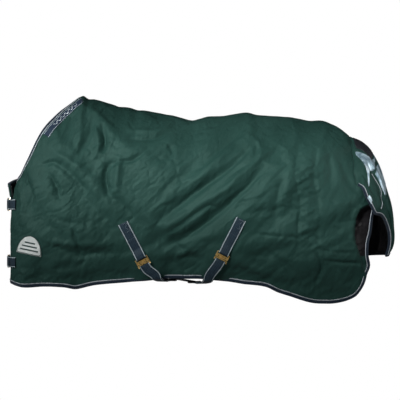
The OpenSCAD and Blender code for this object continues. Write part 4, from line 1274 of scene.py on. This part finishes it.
def flap_at(a, w, lift=0.0):
    """A point of the shown flap, with smooth lookup."""
    ia, iw = np.clip(a, 0, 1) * FLAP_A, (np.clip(w, -1, 1) + 1) / 2 * FLAP_W
    a0, w0 = np.minimum(ia.astype(int), FLAP_A - 1), np.minimum(iw.astype(int), FLAP_W - 1)
    u, v = (ia - a0)[..., None], (iw - w0)[..., None]

    def look(g):
        low, high = (g[a0, w] * (1 - u) + g[a0 + 1, w] * u for w in (w0, w0 + 1))
        return low * (1 - v) + high * v

    n = look(flap_n)
    return look(flap_out) + lift * n / np.linalg.norm(n, axis=-1, keepdims=True)


def flap_piece(o, nodes):
    """Bakes a flap piece in place and hides the CAD nodes it stands for. The flap is sewn across the top of
    the croup; its wings hang free.
    """
    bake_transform(o)
    if nodes:
        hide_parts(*nodes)


def flap_layer(name, top, under, step, mat, node_name):
    """A layer of the flap between two depths below its outer face, in mm."""
    outer, inner = ((flap_out - flap_n * deep)[::step, ::step][:, ::-1] for deep in (top, under))
    flap_piece(slab(name, outer, inner, (mat,)), (node_name,))


flap_layer("tail_flap_cloth", 0, 2.2, 1, SHELL, "tail_flap_shell")
flap_layer("tail_flap_inner", 2.8, 4.4, 2, LINING, "tail_flap_lining")

edge_aw = np.array(
    [(q, -1) for q in np.linspace(0.02, 1, 100)] + [(1, q) for q in np.linspace(-1, 1, 60)[1:]]
    + [(q, 1) for q in np.linspace(1, 0.02, 100)[1:]], float,
)
edge_p = flap_at(edge_aw[:, 0], edge_aw[:, 1])
edge_n = flap_at(edge_aw[:, 0], edge_aw[:, 1], 1.0) - edge_p
edge_p, edge_n = soften(edge_p, 3), unit(soften(edge_n, 6))
wrap_f = [
    (-9, 0.2), (-9, 1.2), (-4, 1.5), (0, 1.2), (3, 0.2), (3.6, -2.2), (3, -4.6), (0, -5.6), (-9, -5.6),
    (-9, -4.6),
]
bound = sweep("tail_flap_bound_edge", edge_p, edge_n, wrap_f, BINDING)
flap_piece(bound, ("tail_flap_binding",))
cord = sweep("tail_flap_piping_cord", edge_p, edge_n, tube(1.7, -10.2, 1.4), PIPING)
flap_piece(cord, ("tail_flap_piping",))
row = offset_row(edge_p, edge_n, -6.6)
flap_piece(stitches("tail_flap_edge_stitching", [row], 1.4, *EDGE_STITCH), ())

# Piping seam down each wing, where the printed panel is joined.
seam_aw = curve_through([(0.30, -0.66), (0.40, -0.625), (0.50, -0.62), (0.56, -0.70), (0.60, -0.84)], 50)
for s, tag in ((1, "near"), (-1, "far")):
    q = flap_at(seam_aw[:, 0], seam_aw[:, 1] * s)
    qn = flap_at(seam_aw[:, 0], seam_aw[:, 1] * s, 1.0) - q
    flap_piece(sweep(f"{tag}_wing_seam_cord", q, qn, tube(1.4, 0, 1.0), PIPING), ())


def flap_print(name, edge_a, edge_b, mat, nodes, lift, t, rows, cols):
    """A printed or sewn patch between two lines of (a, w)."""
    la, lb = curve_through(edge_a, cols), curve_through(edge_b, cols)
    u = np.linspace(0, 1, rows)[None, :, None]
    g = la[:, None] * (1 - u) + lb[:, None] * u
    outer, inner = (flap_at(g[..., 0], g[..., 1], up) for up in (lift + t, lift))
    if (normals_of(outer)[cols // 2, rows // 2] @ (outer - inner)[cols // 2, rows // 2]) < 0:
        outer, inner = outer[::-1], inner[::-1]
    flap_piece(slab(name, outer, inner, (mat,)), nodes)


def mirrored(half):
    """A line across the flap from its near half, which ends on the middle."""
    return half + [(a, -w) for a, w in half[-2::-1]]


# A near-black ribbed band across the top of the flap; it stands for no CAD node.
flap_print(
    "flap_dark_ribbed_patch",
    [(0.03, -0.46), (0.12, -0.47), (0.26, -0.50)], [(0.03, 0.46), (0.12, 0.47), (0.26, 0.50)],
    RIBBED, (), 0.5, 0.8, 80, 24,
)
flap_print(
    "upper_printed_band",
    mirrored([(0.31, -0.84), (0.25, -0.70), (0.315, -0.56), (0.30, -0.30), (0.28, 0)]),
    mirrored([(0.30, -0.86), (0.16, -0.70), (0.04, -0.54), (0.265, -0.46), (0.268, 0)]),
    FOIL, ("upper_reflective_band",), 0.5, 0.5, 14, 140,
)
flap_print(
    "lower_printed_band",
    mirrored([(0.54, -0.58), (0.56, -0.44), (0.50, -0.22), (0.47, 0)]),
    mirrored([(0.34, -0.60), (0.34, -0.44), (0.36, -0.22), (0.37, 0)]),
    FOIL, ("lower_reflective_band",), 0.5, 0.5, 20, 100,
)
flap_print(
    "wing_silver_tab",
    [(0.33, -0.995), (0.38, -0.99), (0.44, -0.985)], [(0.36, -0.93), (0.40, -0.92), (0.43, -0.93)],
    FOIL, ("tail_flap_wing_tab",), 1.0, 1.2, 8, 24,
)

# ---- CAD nodes kept as they are, with a better material
for place in ("front", "rear", "upper_chest", "lower_chest"):
    for part in ("catch_plate", "t_hook"):
        o = frame["nodes"][f"{place}_{part}"]
        o.data.materials.clear()
        o.data.materials.append(BRASS)


# ---- the soft sheets' flat sizes and areas, worked out and not kept
def cloth_sheet(o, grid):
    """Works out a sheet's flat size and area on the modelled cloth, by its longest lines, and keeps neither.
    o is not used.
    """
    wide = np.linalg.norm(np.diff(grid, axis=0), axis=-1).sum(0).max() * MM
    long = np.linalg.norm(np.diff(grid, axis=1), axis=-1).sum(1).max() * MM
    du, dv = np.diff(grid, axis=0)[:, :-1], np.diff(grid, axis=1)[:-1]
    size = round(float(np.linalg.norm(np.cross(du, dv), axis=-1).sum() * MM * MM), 4)


cloth_sheet(near_lining, near_plain)
cloth_sheet(far_lining, far_plain)
named = bpy.data.objects
cloth_sheet(named["tail_flap_cloth"], flap_out)
cloth_sheet(named["tail_flap_inner"], flap_out)
cloth_sheet(named["chest_underlap_panel"], underlap)

# ---- stage, light, camera
CENTRE = (0.038, 0.0, -0.365)
FLOOR_RADIUS, FLOOR_GAP, FLOOR_LIGHT, SKY_LIGHT = 2.4, 0.9, 0.22, 0.014
floor_at = (0, 0, cad_low[2] - FLOOR_GAP)
bpy.ops.mesh.primitive_circle_add(vertices=96, radius=FLOOR_RADIUS, fill_type="NGON", location=floor_at)
floor = bpy.context.object
floor.name = "studio_floor"
floor_mat = Material("studio_white", (0.62, 0.62, 0.62), 0.9)
floor_mat.feed(Emission_Color=(1.0, 1.0, 1.0), Emission_Strength=FLOOR_LIGHT)
floor.data.materials.append(floor_mat.made)

world = bpy.data.worlds.new("studio")
bpy.context.scene.world = world
world.use_nodes = True
wnt = world.node_tree
soft = wnt.nodes["Background"]
soft.inputs[0].default_value = (0.95, 0.98, 1.0, 1)
soft.inputs[1].default_value = SKY_LIGHT
white = node(wnt, "ShaderNodeBackground")
white.inputs[0].default_value = (1, 1, 1, 1)
white.inputs[1].default_value = 1.0
ray = node(wnt, "ShaderNodeLightPath")
mix = node(wnt, "ShaderNodeMixShader")
for a, b in (
    (ray.outputs["Is Camera Ray"], mix.inputs[0]), (soft.outputs[0], mix.inputs[1]),
    (white.outputs[0], mix.inputs[2]), (mix.outputs[0], wnt.nodes["World Output"].inputs[0]),
):
    wnt.links.new(a, b)
bpy.context.scene.view_settings.view_transform = "Standard"


def area(name, loc, aim, wide, high, power, spread=180):
    """A rectangular light at loc that points at aim; spread in degrees."""
    data = bpy.data.lights.new(name, "AREA")
    data.shape = "RECTANGLE"
    data.size = wide
    data.size_y = high
    data.energy = power
    data.spread = math.radians(spread)
    o = bpy.data.objects.new(name, data)
    o.location = loc
    o.rotation_euler = (Vector(aim) - Vector(loc)).to_track_quat("-Z", "Y").to_euler()
    bpy.context.scene.collection.objects.link(o)


# Narrow key lights, high on the left in front, a few fills, and two behind the object.
for k, x in enumerate((-0.62, 0.02, 0.64)):
    area(f"key_{k + 1}", (x - 1.7, -3.6, 1.45), (x, -0.28, -0.15), 0.5, 0.4, 2.5, 20)
area("fill", (2.6, -3.2, 0.7), (0.4, -0.2, -0.1), 0.9, 0.7, 0.5, 30)
area("chest", (-3.9, -1.2, 0.7), (-0.8, -0.1, -0.35), 0.8, 0.8, 1.6, 26)
area("tail", (3.9, -0.9, 0.7), (0.85, 0.0, -0.35), 0.6, 0.6, 0.9, 20)
area("top", (0.3, 0.2, 3.0), CENTRE, 2.4, 2.0, 2.2)
area("back_left", (0.55, 3.8, -0.1), (0.45, 0.25, -0.2), 0.8, 0.6, 4.5, 28)
area("back_right", (-0.50, 3.8, -0.1), (-0.40, 0.25, -0.2), 0.8, 0.6, 4.5, 28)

cam_data = bpy.data.cameras.new("photo_view")
CAM_DIST, VIEW_W = 6.0, 1.92
cam_data.angle = 2 * math.atan(VIEW_W / 2 / CAM_DIST)
cam = bpy.data.objects.new("photo_view", cam_data)
cam.location = (CENTRE[0], -CAM_DIST, CENTRE[2])
cam.rotation_euler = (math.radians(90), 0, 0)
bpy.context.scene.collection.objects.link(cam)
bpy.context.scene.camera = cam
